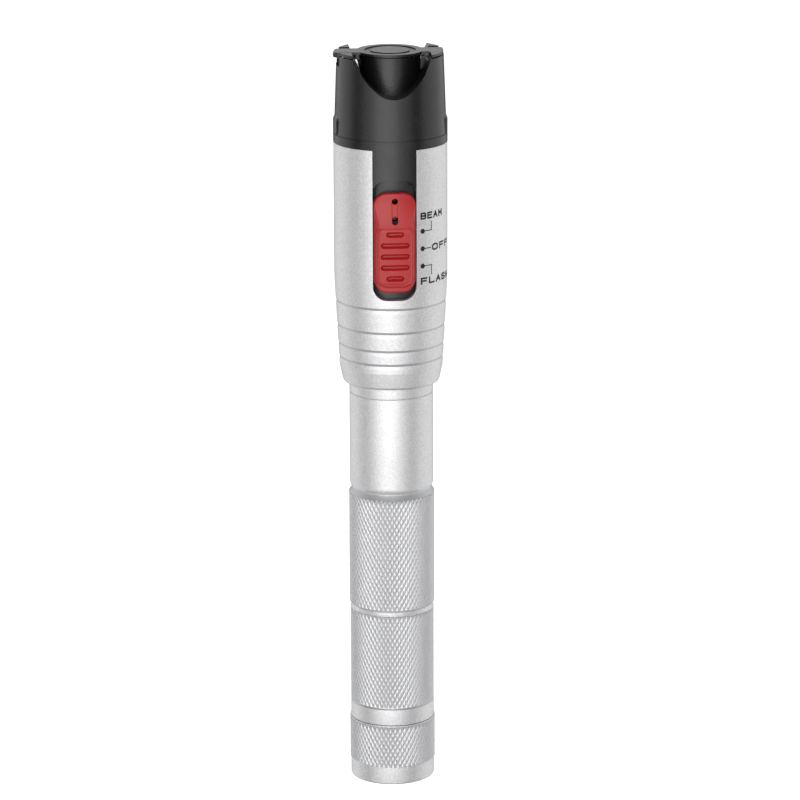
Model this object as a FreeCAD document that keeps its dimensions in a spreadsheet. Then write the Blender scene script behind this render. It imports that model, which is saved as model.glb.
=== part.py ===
import FreeCAD, Part
import Sketcher
import math
import os
import re
from FreeCAD import Placement, Rotation, Vector

# Pen-type visual fault locator: a tube for two cells, a head with a slide switch and a laser,
# and a port for a fibre ferrule under a hinged dust lid. Millimetres, +Z up the axis from the
# bottom of the tail cap, the slide button on the -Y side and the lid's hinge on the -X side.

SIZES = [
    ("cap_length", 14.5, "tail cap, end to end"),
    ("cap_proud", 0.27, "tail cap over the plain neck, at its knurl"),
    ("cap_land_proud", 0.07, "plain band at the cap's end"),
    ("cap_land_length", 4.3, ""),
    ("cap_floor", 1.8, "end wall of the cap"),
    ("edge_break", 0.2, "small chamfer on turned edges"),
    ("joint_gap", 0.1, "between the cap's rim and the barrel"),
    ("cut_margin", 1.0, "how far a cutter runs past the face that it opens"),
    ("screw_clearance", 0.1, "radial, between screwed pieces"),
    ("fit_clearance", 0.1, "radial, between pieces that are pushed together"),
    ("snug_clearance", 0.05, "radial, between pieces that are glued or pressed in"),
    ("spigot_wall", 1.05, "rear spigot that the cap screws on"),
    ("spigot_length", 9.6, ""),
    ("cell_play", 0.45, "radial, cells in their bore"),
    ("grip_proud", 0.04, "rear grip over the plain neck, at its knurl"),
    ("band_length", 4.0, "plain band below the rear grip"),
    ("rear_grip_length", 22.7, ""),
    ("line_depth", 0.15, "fine turned line"),
    ("waist_length", 1.5, "groove between the grips"),
    ("waist_depth", 0.43, "below the plain neck"),
    ("front_grip_proud", 0.22, "front grip over the plain neck, at its knurl"),
    ("shoulder_fall", 1.1, "chamfer down from the front grip"),
    ("shoulder_rise", 1.0, "slope up to the plain neck"),
    ("shoulder_depth", 0.58, "below the plain neck"),
    ("barrel_wall", 2.13, "at the plain neck of the barrel"),
    ("neck_length", 21.9, ""),
    ("neck_socket_depth", 8.4, "counterbore for the neck adapter"),
    ("socket_wall", 0.93, "barrel round the neck adapter"),
    ("adapter_spigot_length", 8.2, ""),
    ("seam_length", 0.25, "shadow line under the collar"),
    ("seam_depth", 0.2, ""),
    ("collar_length", 2.35, ""),
    ("adapter_reach", 13.0, "from the head's base up to the insulator"),
    ("post_step", 0.23, "adapter's spigot in the head, below the collar"),
    ("ring_section", 0.24, "radius of an O-ring's section"),
    ("ring_play", 0.1, "O-ring in its groove, each way along the axis"),
    ("ring_seat", 0.01, "O-ring over its groove's floor"),
    ("tail_seal_drop", 1.2, "tail seal, below the barrel's end face"),
    ("neck_seal_rise", 2.2, "neck seal, above the head's base"),
    ("cell_radius", 7.15, ""),
    ("cell_length", 50.0, "over the nub"),
    ("cell_nub_radius", 2.75, ""),
    ("cell_nub_length", 1.0, ""),
    ("contact_thickness", 0.5, "plate in the tail cap"),
    ("contact_play", 0.25, "radial, plate in the cap's bore"),
    ("spring_length", 5.8, "tail spring, compressed by the cells"),
    ("spring_base_radius", 5.6, ""),
    ("spring_tip_radius", 3.0, ""),
    ("spring_wire", 0.35, "radius of the wire"),
    ("spring_turns", 4, ""),
    ("spring_gap", 0.1, "from the tail spring to the rear cell"),
    ("rim_gap", 0.2, "round the spring's foot"),
    ("contact_gap", 0.8, "from the front cell to the insulator"),
    ("insulator_thickness", 1.6, ""),
    ("stud_radius", 1.8, "stem of the positive contact"),
    ("stud_bevel", 0.4, ""),
    ("nub_gap", 0.05, "from the front cell's nub to the positive contact"),
    ("stud_head_radius", 3.0, ""),
    ("stud_reach", 1.2, "stem past the insulator"),
    ("head_length", 56.2, "silver head sleeve"),
    ("head_radius", 13.03, ""),
    ("foot_radius", 11.1, "head just above its rounded foot"),
    ("foot_round", 0.7, ""),
    ("flare_radius", 11.94, "top of the steep cone"),
    ("flare_length", 4.0, "from the head's base to the top of the steep cone"),
    ("taper_length", 25.0, "from the head's base to the top of the gentle cone"),
    ("head_wall", 1.83, ""),
    ("groove_one", 5.75, "ring grooves, from the head's base"),
    ("groove_two", 9.0, ""),
    ("groove_three", 13.3, ""),
    ("groove_four", 19.0, ""),
    ("groove_width", 1.0, ""),
    ("groove_depth", 0.25, ""),
    ("groove_slope", 0.3, "each sloped side of a ring groove, along the axis"),
    ("slot_half_width", 5.0, "open slot in the head sleeve"),
    ("slot_round", 3.2, ""),
    ("spine_length", 6.8, "black web that fills the slot above the button"),
    ("spine_set", 0.08, "spine below the head's surface"),
    ("side_gap", 0.05, "spine in its slot, each side"),
    ("ring_length", 2.0, "black ring above the sleeve"),
    ("ring_proud", 0.03, "ring over the head's surface"),
    ("carrier_inner_radius", 8.2, ""),
    ("carrier_roof", 2.2, ""),
    ("collar_wall", 1.2, "locating collar on the carrier"),
    ("collar_rise", 2.8, ""),
    ("horn_width", 0.3, "ends of the spine beside the button's arched end"),
    ("board_shoulder", 4.65, "seat of the board, forward of the axis"),
    ("board_gap", 0.05, "board behind its seat"),
    ("bay_gap", 0.45, "in front of the switch"),
    ("flange_gap", 0.3, "from the board's seat up to the laser's flange"),
    ("bay_half_width", 3.0, "bay in front of the board"),
    ("board_foot", 2.4, "from the carrier's base up to the board"),
    ("board_head", 4.0, "from the board up to the carrier's roof"),
    ("board_half_width", 6.2, ""),
    ("board_thickness", 1.2, ""),
    ("screw_offset", 4.6, "board screws, off the middle"),
    ("screw_inset", 2.5, "board screws, from the board's ends"),
    ("screw_radius", 0.75, ""),
    ("screw_head_radius", 1.4, ""),
    ("screw_head_height", 0.8, ""),
    ("screw_length", 4.2, ""),
    ("screw_end_gap", 0.2, "hole deeper than its screw"),
    ("chip_width", 5.0, ""),
    ("chip_length", 6.0, ""),
    ("chip_height", 1.1, ""),
    ("switch_half_width", 1.9, ""),
    ("switch_length", 7.8, ""),
    ("switch_height", 3.0, ""),
    ("lever_half_width", 0.7, ""),
    ("lever_half_height", 1.2, ""),
    ("lever_seat", 1.6, "lever's inner end, in front of the board"),
    ("lever_rise", 0.8, "lever's tip over the carrier"),
    ("lever_clearance", 0.1, ""),
    ("window_gap", 0.3, "round the lever in the carrier"),
    ("travel", 2.0, "button's travel each way"),
    ("low_gap", 0.15, "left below the button at the end of its travel"),
    ("high_gap", 0.95, "left above it at the other end"),
    ("slide_gap", 0.15, "button in its slot, each side"),
    ("float_gap", 0.3, "button over the carrier"),
    ("button_length", 22.8, ""),
    ("button_proud", 0.03, "button's base over the head's surface"),
    ("button_round", 3.1, ""),
    ("pad_rise", 1.0, "raised thumb pad over the button's base"),
    ("pad_half_width", 4.3, ""),
    ("pad_headroom", 7.55, "from the pad up to the button's upper end"),
    ("pad_inset", 0.9, "from the button's lower end"),
    ("pad_round", 2.9, ""),
    ("ridge_start", 2.35, "lowest grip groove, from the pad's lower end"),
    ("ridge_end", 1.8, "highest groove, from the pad's upper end"),
    ("ridge_height", 1.4, ""),
    ("ridge_depth", 0.5, ""),
    ("ridge_round", 0.65, ""),
    ("short_ridge", 2.1, "half length of the end grooves"),
    ("long_ridge", 3.35, "half length of the middle grooves"),
    ("light_inset", 1.85, "upper light hole, from the button's upper end"),
    ("lower_light", 5.45, "lower light hole, from the button's middle"),
    ("light_hole_radius", 0.72, ""),
    ("light_channel_depth", 0.25, ""),
    ("led_radius", 0.8, ""),
    ("led_set", 0.2, "tips of the LEDs below the carrier's outside"),
    ("laser_radius", 5.0, "brass laser housing"),
    ("laser_flange_radius", 5.8, ""),
    ("laser_flange_length", 1.8, ""),
    ("diode_radius", 2.8, ""),
    ("diode_flange", 1.2, ""),
    ("diode_can_radius", 2.3, ""),
    ("diode_can_length", 2.8, ""),
    ("lead_radius", 0.225, ""),
    ("lead_length", 2.0, ""),
    ("lead_circle", 1.27, "leads, off the axis"),
    ("lens_radius", 2.9, ""),
    ("lens_seat", 4.5, "from the roof's underside up to the lens"),
    ("lens_length", 2.0, ""),
    ("lens_bow", 0.6, "rise of the lens's curved face"),
    ("lens_gap", 0.1, "under the ring's inner edge"),
    ("ring_bite", 0.25, "ring's seat on the lens, inward"),
    ("ring_bite_rise", 0.15, ""),
    ("lens_ring_length", 1.0, ""),
    ("lens_aperture", 1.6, ""),
    ("front_length", 18.9, "black front, from the ring to the lid's top"),
    ("front_step", 0.21, "front housing below the ring's surface"),
    ("front_taper", 0.68, "fall in radius up to the lid's top"),
    ("front_cavity", 7.3, "height of the hollow above the ring"),
    ("ear_angle", 32.0, "width of a side pad in degrees"),
    ("ear_rise", 0.2, "pad's lower edge above the ring"),
    ("ear_length", 3.0, ""),
    ("ear_ramp", 1.4, ""),
    ("ear_root", 0.4, "pad's root under the taper"),
    ("ear_lip", 0.3, "ramp's end over the taper's top"),
    ("scoop_rise", 9.5, "lowest point of the finger scoops above the ring"),
    ("scoop_bend_width", 4.0, ""),
    ("scoop_bend_rise", 1.6, ""),
    ("scoop_flank_width", 7.0, ""),
    ("scoop_flank_rise", 4.9, ""),
    ("scoop_flank_radius", 16.0, ""),
    ("scoop_mouth_width", 9.025, "at the lid's top"),
    ("column_radius", 6.9, ""),
    ("rib_half_width", 0.6, "rib from the column to the right post"),
    ("rib_gap", 0.3, "from the rib up to the lid's hook"),
    ("port_radius", 4.0, ""),
    ("port_neck_radius", 2.85, ""),
    ("port_neck_length", 3.5, ""),
    ("port_recess_radius", 4.6, ""),
    ("port_recess_depth", 1.6, ""),
    ("ferrule_radius", 1.25, "fibre ferrule of 2.5 mm"),
    ("guide_wall", 0.35, "split ceramic guide"),
    ("guide_length", 10.0, ""),
    ("guide_slit", 0.3, ""),
    ("guide_clearance", 0.02, "radial, guide in its port"),
    ("guide_ledge", 0.13, "ledge that the guide stands on"),
    ("port_lip", 0.6, ""),
    ("port_chamfer", 0.25, "lead-in of the port"),
    ("lid_thickness", 0.6, ""),
    ("lid_disc_radius", 7.6, ""),
    ("lid_gap", 0.3, "under the resting wing"),
    ("disc_gap", 0.3, "over the column"),
    ("lid_groove_inner", 4.5, ""),
    ("lid_groove_outer", 5.9, ""),
    ("lid_groove_depth", 0.25, ""),
    ("arm_front", 3.1, "lid's arms, forward of the axis"),
    ("arm_back", 2.4, ""),
    ("arm_gap", 0.3, "in front of the left arm"),
    ("lug_gap", 0.2, "beside the hinge lug, each side"),
    ("wing_front", 8.2, "corner of the wing, forward of the axis"),
    ("wing_inner", 8.85, ""),
    ("wing_set", 0.07, "wing below the posts' surface"),
    ("rear_step", 4.2, "front edge of the tall rear part of the posts"),
    ("hook_outer", 8.0, "lid's snap hooks, off the middle"),
    ("hook_wall", 0.5, ""),
    ("hook_toe", 0.4, ""),
    ("hook_drop", 1.2, ""),
    ("hook_toe_height", 0.6, ""),
    ("hook_half_width", 2.1, ""),
    ("plug_radius", 4.2, "rubber plug under the lid"),
    ("plug_length", 1.5, ""),
    ("hinge_inset", 1.17, "hinge axis, in from the post's surface"),
    ("hinge_drop", 1.1, "hinge axis below the lid's top"),
    ("knuckle_radius", 0.8, ""),
    ("hinge_clearance", 0.15, ""),
    ("pin_radius", 0.35, ""),
    ("pin_half_length", 4.3, ""),
    ("pin_fit", 0.01, "radial, pin in the post"),
    ("pin_play", 0.07, "radial, lid on the pin"),
    ("lug_reach", 0.83, "tip of the lid's lug, out from the post"),
    ("lug_thickness", 1.2, ""),
    ("lug_bevel", 0.45, ""),
    ("lug_tip_front", 2.0, ""),
    ("lug_tip_back", 0.4, ""),
    ("notch_radius", 2.3, "clearance that the lug swings in"),
]

LEVELS = [
    ("cell_bore_radius", "cell_radius + cell_play"),
    ("spigot_radius", "cell_bore_radius + spigot_wall"),
    ("barrel_radius", "cell_bore_radius + barrel_wall"),
    ("cap_radius", "barrel_radius + cap_proud"),
    ("cap_land_radius", "barrel_radius + cap_land_proud"),
    ("grip_radius", "barrel_radius + grip_proud"),
    ("waist_radius", "barrel_radius - waist_depth"),
    ("front_grip_radius", "barrel_radius + front_grip_proud"),
    ("shoulder_radius", "barrel_radius - shoulder_depth"),
    ("socket_radius", "barrel_radius - socket_wall"),
    ("adapter_spigot_radius", "socket_radius - screw_clearance"),
    ("head_post_radius", "barrel_radius - post_step"),
    ("insulator_radius", "head_post_radius - fit_clearance"),
    ("cap_bore_radius", "spigot_radius + screw_clearance"),
    ("contact_radius", "cap_bore_radius - contact_play"),
    ("barrel_base", "cap_length + joint_gap"),
    ("spigot_base", "barrel_base - spigot_length"),
    ("rear_line", "barrel_base + band_length"),
    ("rear_grip_top", "rear_line + rear_grip_length"),
    ("front_grip_base", "rear_grip_top + waist_length"),
    ("rear_cell_base", "cap_floor + contact_thickness + spring_length + spring_gap"),
    ("front_cell_base", "rear_cell_base + cell_length"),
    ("cell_top", "front_cell_base + cell_length"),
    ("insulator_base", "cell_top + contact_gap"),
    ("head_base", "insulator_base - adapter_reach"),
    ("collar_base", "head_base - collar_length"),
    ("barrel_top", "collar_base - seam_length"),
    ("neck_level", "barrel_top - neck_length"),
    ("shoulder_level", "neck_level - shoulder_rise"),
    ("front_grip_top", "shoulder_level - shoulder_fall"),
    ("neck_socket", "barrel_top - neck_socket_depth"),
    ("carrier_base", "insulator_base + insulator_thickness"),
    ("sleeve_top", "head_base + head_length"),
    ("ring_top", "sleeve_top + ring_length"),
    ("pocket_top", "sleeve_top - spine_length"),
    ("pocket_length", "button_length + 2 * travel + low_gap + high_gap"),
    ("slot_base", "pocket_top - pocket_length"),
    ("button_base", "slot_base + low_gap + travel"),
    ("button_middle", "button_base + button_length / 2"),
    ("pad_base", "button_base + pad_inset"),
    ("pad_length", "button_length - pad_inset - pad_headroom"),
    ("upper_light", "button_length / 2 - light_inset"),
    ("sleeve_bore", "head_radius - head_wall"),
    ("carrier_radius", "sleeve_bore - fit_clearance"),
    ("roof_level", "sleeve_top - carrier_roof"),
    ("board_base", "carrier_base + board_foot"),
    ("board_top", "roof_level - board_head"),
    ("board_face", "board_shoulder - board_gap"),
    ("board_back", "board_face - board_thickness"),
    ("led_reach", "carrier_radius - led_set"),
    ("lever_root", "board_face + lever_seat"),
    ("lever_tip", "carrier_radius + lever_rise"),
    ("lever_sweep", "lever_half_height + travel"),
    ("ring_radius", "head_radius + ring_proud"),
    ("spine_radius", "head_radius - spine_set"),
    ("button_radius", "head_radius + button_proud"),
    ("pad_radius", "button_radius + pad_rise"),
    ("front_base_radius", "ring_radius - front_step"),
    ("front_top_radius", "front_base_radius - front_taper"),
    ("wing_radius", "front_top_radius - wing_set"),
    ("hinge_offset", "front_top_radius - hinge_inset"),
    ("lug_end", "front_top_radius + lug_reach"),
    ("collar_radius", "carrier_inner_radius + collar_wall"),
    ("cavity_top", "ring_top + front_cavity"),
    ("lid_top", "ring_top + front_length"),
    ("lid_base", "lid_top - lid_thickness"),
    ("hook_base", "lid_base - hook_drop"),
    ("post_top", "lid_base - lid_gap"),
    ("column_top", "lid_base - disc_gap"),
    ("port_top", "column_top - port_recess_depth"),
    ("scoop_base", "ring_top + scoop_rise"),
    ("hinge_level", "lid_top - hinge_drop"),
    ("button_half_width", "slot_half_width - slide_gap"),
    ("back_radius", "carrier_radius + float_gap"),
    ("guide_radius", "ferrule_radius + guide_wall"),
    ("lens_base", "roof_level + lens_seat"),
]

RING_SIDES = 6
SPRING_SIDES = 6
RIDGES = 5
LEAD_ANGLES = (30, 150, 270)

doc = FreeCAD.newDocument("fault_locator")
home = {}


def fill_sheet(name, rows, formula):
    """A sheet with one row to each size: its value, its alias and what it is."""
    sheet = doc.addObject("Spreadsheet::Sheet", name)
    for index, row in enumerate(rows, start=1):
        home[row[0]] = name
        content = "=" + bind(row[1]) if formula else str(row[1])
        sheet.set("A%d" % index, content)
        sheet.setAlias("A%d" % index, row[0])
        if len(row) > 2:
            sheet.set("B%d" % index, row[2])
        if formula:
            doc.recompute()
    doc.recompute()
    return sheet


def bind(text):
    """The expression with the sheet of each size put before its name."""
    def with_sheet(match):
        word = match.group()
        return home[word] + "." + word if word in home else word
    return re.sub(r"[a-z_]{3,}", with_sheet, str(text))


sizes = fill_sheet("Sizes", SIZES, False)
levels = fill_sheet("Levels", LEVELS, True)


def number(text):
    """The present value of an expression, to draw or place something for the first time."""
    return float(sizes.evalExpression(bind(text)))


def arc_between(start, end, radius, turn):
    """Arc from start to end that turns left (+1) or right (-1), by less than half a circle."""
    chord = end - start
    rise = math.sqrt(max(radius ** 2 - (chord.Length / 2) ** 2, 0))
    side = Vector(-chord.y, chord.x, 0).normalize() * (rise * turn)
    centre = start + chord / 2 + side
    first, last = (start, end) if turn > 0 else (end, start)
    angles = [math.atan2(spot.y - centre.y, spot.x - centre.x) for spot in (first, last)]
    return Part.ArcOfCircle(Part.Circle(centre, Vector(0, 0, 1), radius), angles[0], angles[1])


def measure(sketch, kind, value, *spots):
    """A dimension of the sketch that follows its expression."""
    index = sketch.addConstraint(Sketcher.Constraint(kind, *spots, number(value)))
    sketch.setExpression("Constraints[%d]" % index, bind(value))


def outline(sketch, corners):
    """A closed outline. A corner is (across, along), and after an arc also its radius and turn."""
    spots = [Vector(number(corner[0]), number(corner[1]), 0) for corner in corners]
    ends = []
    for index, corner in enumerate(corners):
        start, end = spots[index - 1], spots[index]
        if len(corner) == 2:
            edge = sketch.addGeometry(Part.LineSegment(start, end), False)
            ends.append((edge, 1, 2))
        else:
            arc = arc_between(start, end, number(corner[2]), corner[3])
            edge = sketch.addGeometry(arc, False)
            ends.append((edge, 1, 2) if corner[3] > 0 else (edge, 2, 1))
            measure(sketch, "Radius", corner[2], edge)
    for index, corner in enumerate(corners):
        edge, _, last = ends[index]
        after, first, _ = ends[(index + 1) % len(corners)]
        sketch.addConstraint(Sketcher.Constraint("Coincident", edge, last, after, first))
        measure(sketch, "DistanceX", corner[0], -1, 1, edge, last)
        measure(sketch, "DistanceY", corner[1], -1, 1, edge, last)


def circle(sketch, across, along, radius):
    """A circle about a measured centre."""
    centre = Vector(number(across), number(along), 0)
    ring = Part.Circle(centre, Vector(0, 0, 1), number(radius))
    edge = sketch.addGeometry(ring, False)
    measure(sketch, "Radius", radius, edge)
    measure(sketch, "DistanceX", across, -1, 1, edge, 3)
    measure(sketch, "DistanceY", along, -1, 1, edge, 3)


def draw(sketch, shapes):
    """Each shape is a list of corners, or a tuple for a circle."""
    for shape in shapes:
        if isinstance(shape, tuple):
            circle(sketch, *shape)
        else:
            outline(sketch, shape)
    return sketch


def new_body(name):
    """An empty body whose label is the node's name."""
    body = doc.addObject("PartDesign::Body", name)
    body.Label = name
    return body


def body_sketch(body, name, face, level, shapes):
    """Sketch in a body: "top" lies at a height, "front" at a distance forward of the axis."""
    role = {"top": "XY_Plane", "front": "XZ_Plane"}[face]
    plane = [item for item in body.Origin.OriginFeatures if item.Role == role][0]
    sketch = body.newObject("Sketcher::SketchObject", name + "_sketch")
    sketch.AttachmentSupport = (plane, [""])
    sketch.MapMode = "FlatFace"
    sketch.setExpression("AttachmentOffset.Base.z", bind(level))
    return draw(sketch, shapes)


def add_turned(body, name, *shapes, kind="Revolution", angle="360", centred=False):
    """Turn a section in the XZ plane about the axis, added or, as a Groove, cut away."""
    sketch = body_sketch(body, name, "front", "0", shapes)
    feature = body.newObject("PartDesign::" + kind, name)
    feature.Profile = (sketch, [""])
    feature.ReferenceAxis = (sketch, ["V_Axis"])
    feature.setExpression("Angle", bind(angle))
    feature.Midplane = centred
    sketch.Visibility = False
    return feature


def add_pad(body, name, face, level, length, *shapes):
    """Material from a sketch, upward from "top" and forward from "front"."""
    sketch = body_sketch(body, name, face, level, shapes)
    feature = body.newObject("PartDesign::Pad", name)
    feature.Profile = (sketch, [""])
    feature.setExpression("Length", bind(length))
    return feature


def add_pocket(body, name, face, level, length, *shapes):
    """The same stretch of space, cut away."""
    sketch = body_sketch(body, name, face, level, shapes)
    feature = body.newObject("PartDesign::Pocket", name)
    feature.Profile = (sketch, [""])
    feature.setExpression("Length", bind(length))
    feature.Reversed = True
    return feature


def turned(name, *shapes):
    """A body that is one turned piece."""
    body = new_body(name)
    add_turned(body, name + "_section", *shapes)
    return body


def prism(name, face, level, length, *shapes):
    """A straight-sided solid from a sketch of its own, outside any body."""
    sketch = doc.addObject("Sketcher::SketchObject", name + "_sketch")
    if face == "front":
        sketch.Placement = Placement(Vector(0, 0, 0), Rotation(Vector(1, 0, 0), 90))
        sketch.setExpression("Placement.Base.y", "-(" + bind(level) + ")")
    else:
        sketch.setExpression("Placement.Base.z", bind(level))
    draw(sketch, shapes)
    solid = doc.addObject("Part::Extrusion", name)
    solid.Base = sketch
    solid.DirMode = "Normal"
    solid.Solid = True
    solid.setExpression("LengthFwd", bind(length))
    return solid


def rod(name, face, across, along, level, radius, length):
    """A cylinder that stands on "top", or points forward from "front"."""
    solid = doc.addObject("Part::Cylinder", name)
    solid.setExpression("Radius", bind(radius))
    solid.setExpression("Height", bind(length))
    solid.setExpression("Placement.Base.x", bind(across))
    if face == "front":
        solid.Placement = Placement(Vector(0, 0, 0), Rotation(Vector(1, 0, 0), 90))
        solid.setExpression("Placement.Base.y", "-(" + bind(level) + ")")
        solid.setExpression("Placement.Base.z", bind(along))
    else:
        solid.setExpression("Placement.Base.y", bind(along))
        solid.setExpression("Placement.Base.z", bind(level))
    return solid


def join(kind, name, base, tool):
    """Part::Fuse, Part::Cut or Part::Common of two solids."""
    result = doc.addObject("Part::" + kind, name)
    result.Base = base
    result.Tool = tool
    result.Refine = True
    result.Label = name
    return result


def fuse_all(name, *solids):
    """One solid from several."""
    result = doc.addObject("Part::MultiFuse", name)
    result.Shapes = list(solids)
    result.Refine = True
    result.Label = name
    return result


def box_corners(left, low, right, high):
    """The corners of an upright rectangle."""
    return [(left, low), (right, low), (right, high), (left, high)]


def round_corners(half, low, high, radius):
    """A rectangle about the middle with four rounded corners."""
    inner = "({}) - ({})".format(half, radius)
    return [
        (inner, low), (half, "({}) + ({})".format(low, radius), radius, 1),
        (half, "({}) - ({})".format(high, radius)), (inner, high, radius, 1),
        ("-(" + inner + ")", high),
        ("-(" + half + ")", "({}) - ({})".format(high, radius), radius, 1),
        ("-(" + half + ")", "({}) + ({})".format(low, radius)),
        ("-(" + inner + ")", low, radius, 1),
    ]


def ring_seat_corners(surface, level):
    """The four corners of an O-ring's groove in a turned surface."""
    low = "{} - ring_section - ring_play".format(level)
    high = "{} + ring_section + ring_play".format(level)
    floor = surface + " - 2 * ring_section"
    return [(surface, low), (floor, low), (floor, high), (surface, high)]


def o_ring(name, surface, level):
    """A rubber ring in its groove, with a six-sided section."""
    middle = surface + " - ring_section + ring_seat"
    turns = [math.tau * side / RING_SIDES for side in range(RING_SIDES)]
    return turned(name, [
        ("{} + ring_section * {:.4f}".format(middle, math.cos(turn)),
         "{} + ring_section * {:.4f}".format(level, math.sin(turn))) for turn in turns])


def make_tail_cap():
    """Cup with a plain land at its closed end and a knurled skirt."""
    return turned("tail_cap", [
        ("0", "0"), ("cap_land_radius - edge_break", "0"), ("cap_land_radius", "edge_break"),
        ("cap_land_radius", "cap_land_length"),
        ("cap_radius", "cap_land_length + edge_break"),
        ("cap_radius", "cap_length - edge_break"), ("cap_radius - edge_break", "cap_length"),
        ("cap_bore_radius", "cap_length"), ("cap_bore_radius", "cap_floor"), ("0", "cap_floor")])


def make_barrel():
    """Battery tube: two grips with a groove between them, a plain neck and a rear spigot."""
    seal_groove = ring_seat_corners("spigot_radius", "barrel_base - tail_seal_drop")
    return turned("barrel", [
        ("cell_bore_radius", "spigot_base"), ("spigot_radius - edge_break", "spigot_base"),
        ("spigot_radius", "spigot_base + edge_break")] + seal_groove + [
        ("spigot_radius", "barrel_base"),
        ("grip_radius - edge_break", "barrel_base"), ("grip_radius", "barrel_base + edge_break"),
        ("grip_radius", "rear_line - line_depth"), ("grip_radius - line_depth", "rear_line"),
        ("grip_radius", "rear_line + line_depth"), ("grip_radius", "rear_grip_top"),
        ("waist_radius", "(rear_grip_top + front_grip_base) / 2"),
        ("front_grip_radius", "front_grip_base"), ("front_grip_radius", "front_grip_top"),
        ("shoulder_radius", "shoulder_level"), ("barrel_radius", "neck_level"),
        ("barrel_radius", "barrel_top"), ("socket_radius", "barrel_top"),
        ("socket_radius", "neck_socket"), ("cell_bore_radius", "neck_socket")])


def make_tail_seal():
    return o_ring("tail_seal", "spigot_radius", "barrel_base - tail_seal_drop")


def make_tail_contact():
    """Plate that the tail spring stands on, with a raised rim round the spring's foot."""
    rim = "spring_base_radius + spring_wire + rim_gap"
    return turned("tail_contact", [
        ("0", "cap_floor"), ("contact_radius", "cap_floor"),
        ("contact_radius", "cap_floor + contact_thickness"),
        (rim + " + contact_thickness", "cap_floor + contact_thickness"),
        (rim + " + contact_thickness", "cap_floor + 2 * contact_thickness"),
        (rim, "cap_floor + 2 * contact_thickness"), (rim, "cap_floor + contact_thickness"),
        ("0", "cap_floor + contact_thickness")])


def make_tail_spring():
    """Conical coil of round wire, drawn with six sides."""
    wire = number("spring_wire")
    foot = number("cap_floor + contact_thickness") + wire
    height = number("spring_length") - 2 * wire
    base, tip = number("spring_base_radius"), number("spring_tip_radius")
    slope = math.degrees(math.atan2(tip - base, height))
    path = Part.makeHelix(height / number("spring_turns"), height, base, slope)
    corners = [Vector(base + wire * math.cos(turn), 0, wire * math.sin(turn))
               for turn in [math.tau * side / SPRING_SIDES for side in range(SPRING_SIDES)]]
    section = Part.makePolygon(corners + corners[:1])
    coil = Part.Wire(path.Edges).makePipeShell([section], True, True)
    spring = doc.addObject("Part::Feature", "tail_spring")
    spring.Shape = coil
    spring.Placement = Placement(Vector(0, 0, foot), Rotation())
    spring.Label = "tail_spring"
    return spring


def make_cell(name, base):
    """One dry cell: a can with rounded rims and a nub at its positive end."""
    can_top = "{} + cell_length - cell_nub_length".format(base)
    return turned(name, [
        ("0", base), ("cell_radius - edge_break", base), ("cell_radius", base + " + edge_break"),
        ("cell_radius", can_top + " - edge_break"), ("cell_radius - edge_break", can_top),
        ("cell_nub_radius", can_top), ("cell_nub_radius", base + " + cell_length"),
        ("0", base + " + cell_length")])


def make_neck_adapter():
    """Threaded ring that joins barrel and head, with the visible collar and its shadow line."""
    seal_groove = ring_seat_corners("head_post_radius", "head_base + neck_seal_rise")
    return turned("neck_adapter", [
        ("cell_bore_radius", "barrel_top - adapter_spigot_length"),
        ("adapter_spigot_radius", "barrel_top - adapter_spigot_length"),
        ("adapter_spigot_radius", "barrel_top"), ("barrel_radius - seam_depth", "barrel_top"),
        ("barrel_radius - seam_depth", "collar_base"), ("barrel_radius", "collar_base"),
        ("barrel_radius", "head_base"), ("head_post_radius", "head_base")] + seal_groove + [
        ("head_post_radius", "insulator_base"), ("cell_bore_radius", "insulator_base")])


def make_neck_seal():
    return o_ring("neck_seal", "head_post_radius", "head_base + neck_seal_rise")


def cone_radius(rise):
    """Radius of the gentle cone at a height over the head's base."""
    share = "(({}) - flare_length) / (taper_length - flare_length)".format(rise)
    return "flare_radius + (head_radius - flare_radius) * ({})".format(share)


def ring_groove(rise):
    """The four corners of one ring groove on the cone, with sloped sides."""
    low, high = "{} - groove_width / 2".format(rise), "{} + groove_width / 2".format(rise)
    foot, brow = low + " + groove_slope", high + " - groove_slope"
    return [(cone_radius(low), "head_base + " + low),
            (cone_radius(foot) + " - groove_depth", "head_base + " + foot),
            (cone_radius(brow) + " - groove_depth", "head_base + " + brow),
            (cone_radius(high), "head_base + " + high)]


def make_head_sleeve():
    """Flared aluminium sleeve with ring grooves and an open slot for the button."""
    sleeve = new_body("head_sleeve")
    grooves = [corner for rise in ("groove_one", "groove_two", "groove_three", "groove_four")
               for corner in ring_groove(rise)]
    post = "head_post_radius + fit_clearance"
    add_turned(sleeve, "sleeve_section", [
        (post, "head_base"), ("foot_radius - foot_round", "head_base"),
        ("foot_radius", "head_base + foot_round", "foot_round", 1),
        ("flare_radius", "head_base + flare_length")] + grooves + [
        ("head_radius", "head_base + taper_length"),
        ("head_radius", "sleeve_top - edge_break"), ("head_radius - edge_break", "sleeve_top"),
        ("sleeve_bore", "sleeve_top"), ("sleeve_bore", "carrier_base"), (post, "carrier_base")])
    add_pocket(sleeve, "button_slot", "front", "carrier_inner_radius", "head_radius", [
        ("-slot_half_width", "sleeve_top + cut_margin"),
        ("-slot_half_width", "slot_base + slot_round"),
        ("slot_round - slot_half_width", "slot_base", "slot_round", 1),
        ("slot_half_width - slot_round", "slot_base"),
        ("slot_half_width", "slot_base + slot_round", "slot_round", 1),
        ("slot_half_width", "sleeve_top + cut_margin")])
    return sleeve


def make_contact_insulator():
    return turned("contact_insulator", [
        ("stud_radius + fit_clearance", "insulator_base"), ("insulator_radius", "insulator_base"),
        ("insulator_radius", "carrier_base"), ("stud_radius + fit_clearance", "carrier_base")])


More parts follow.
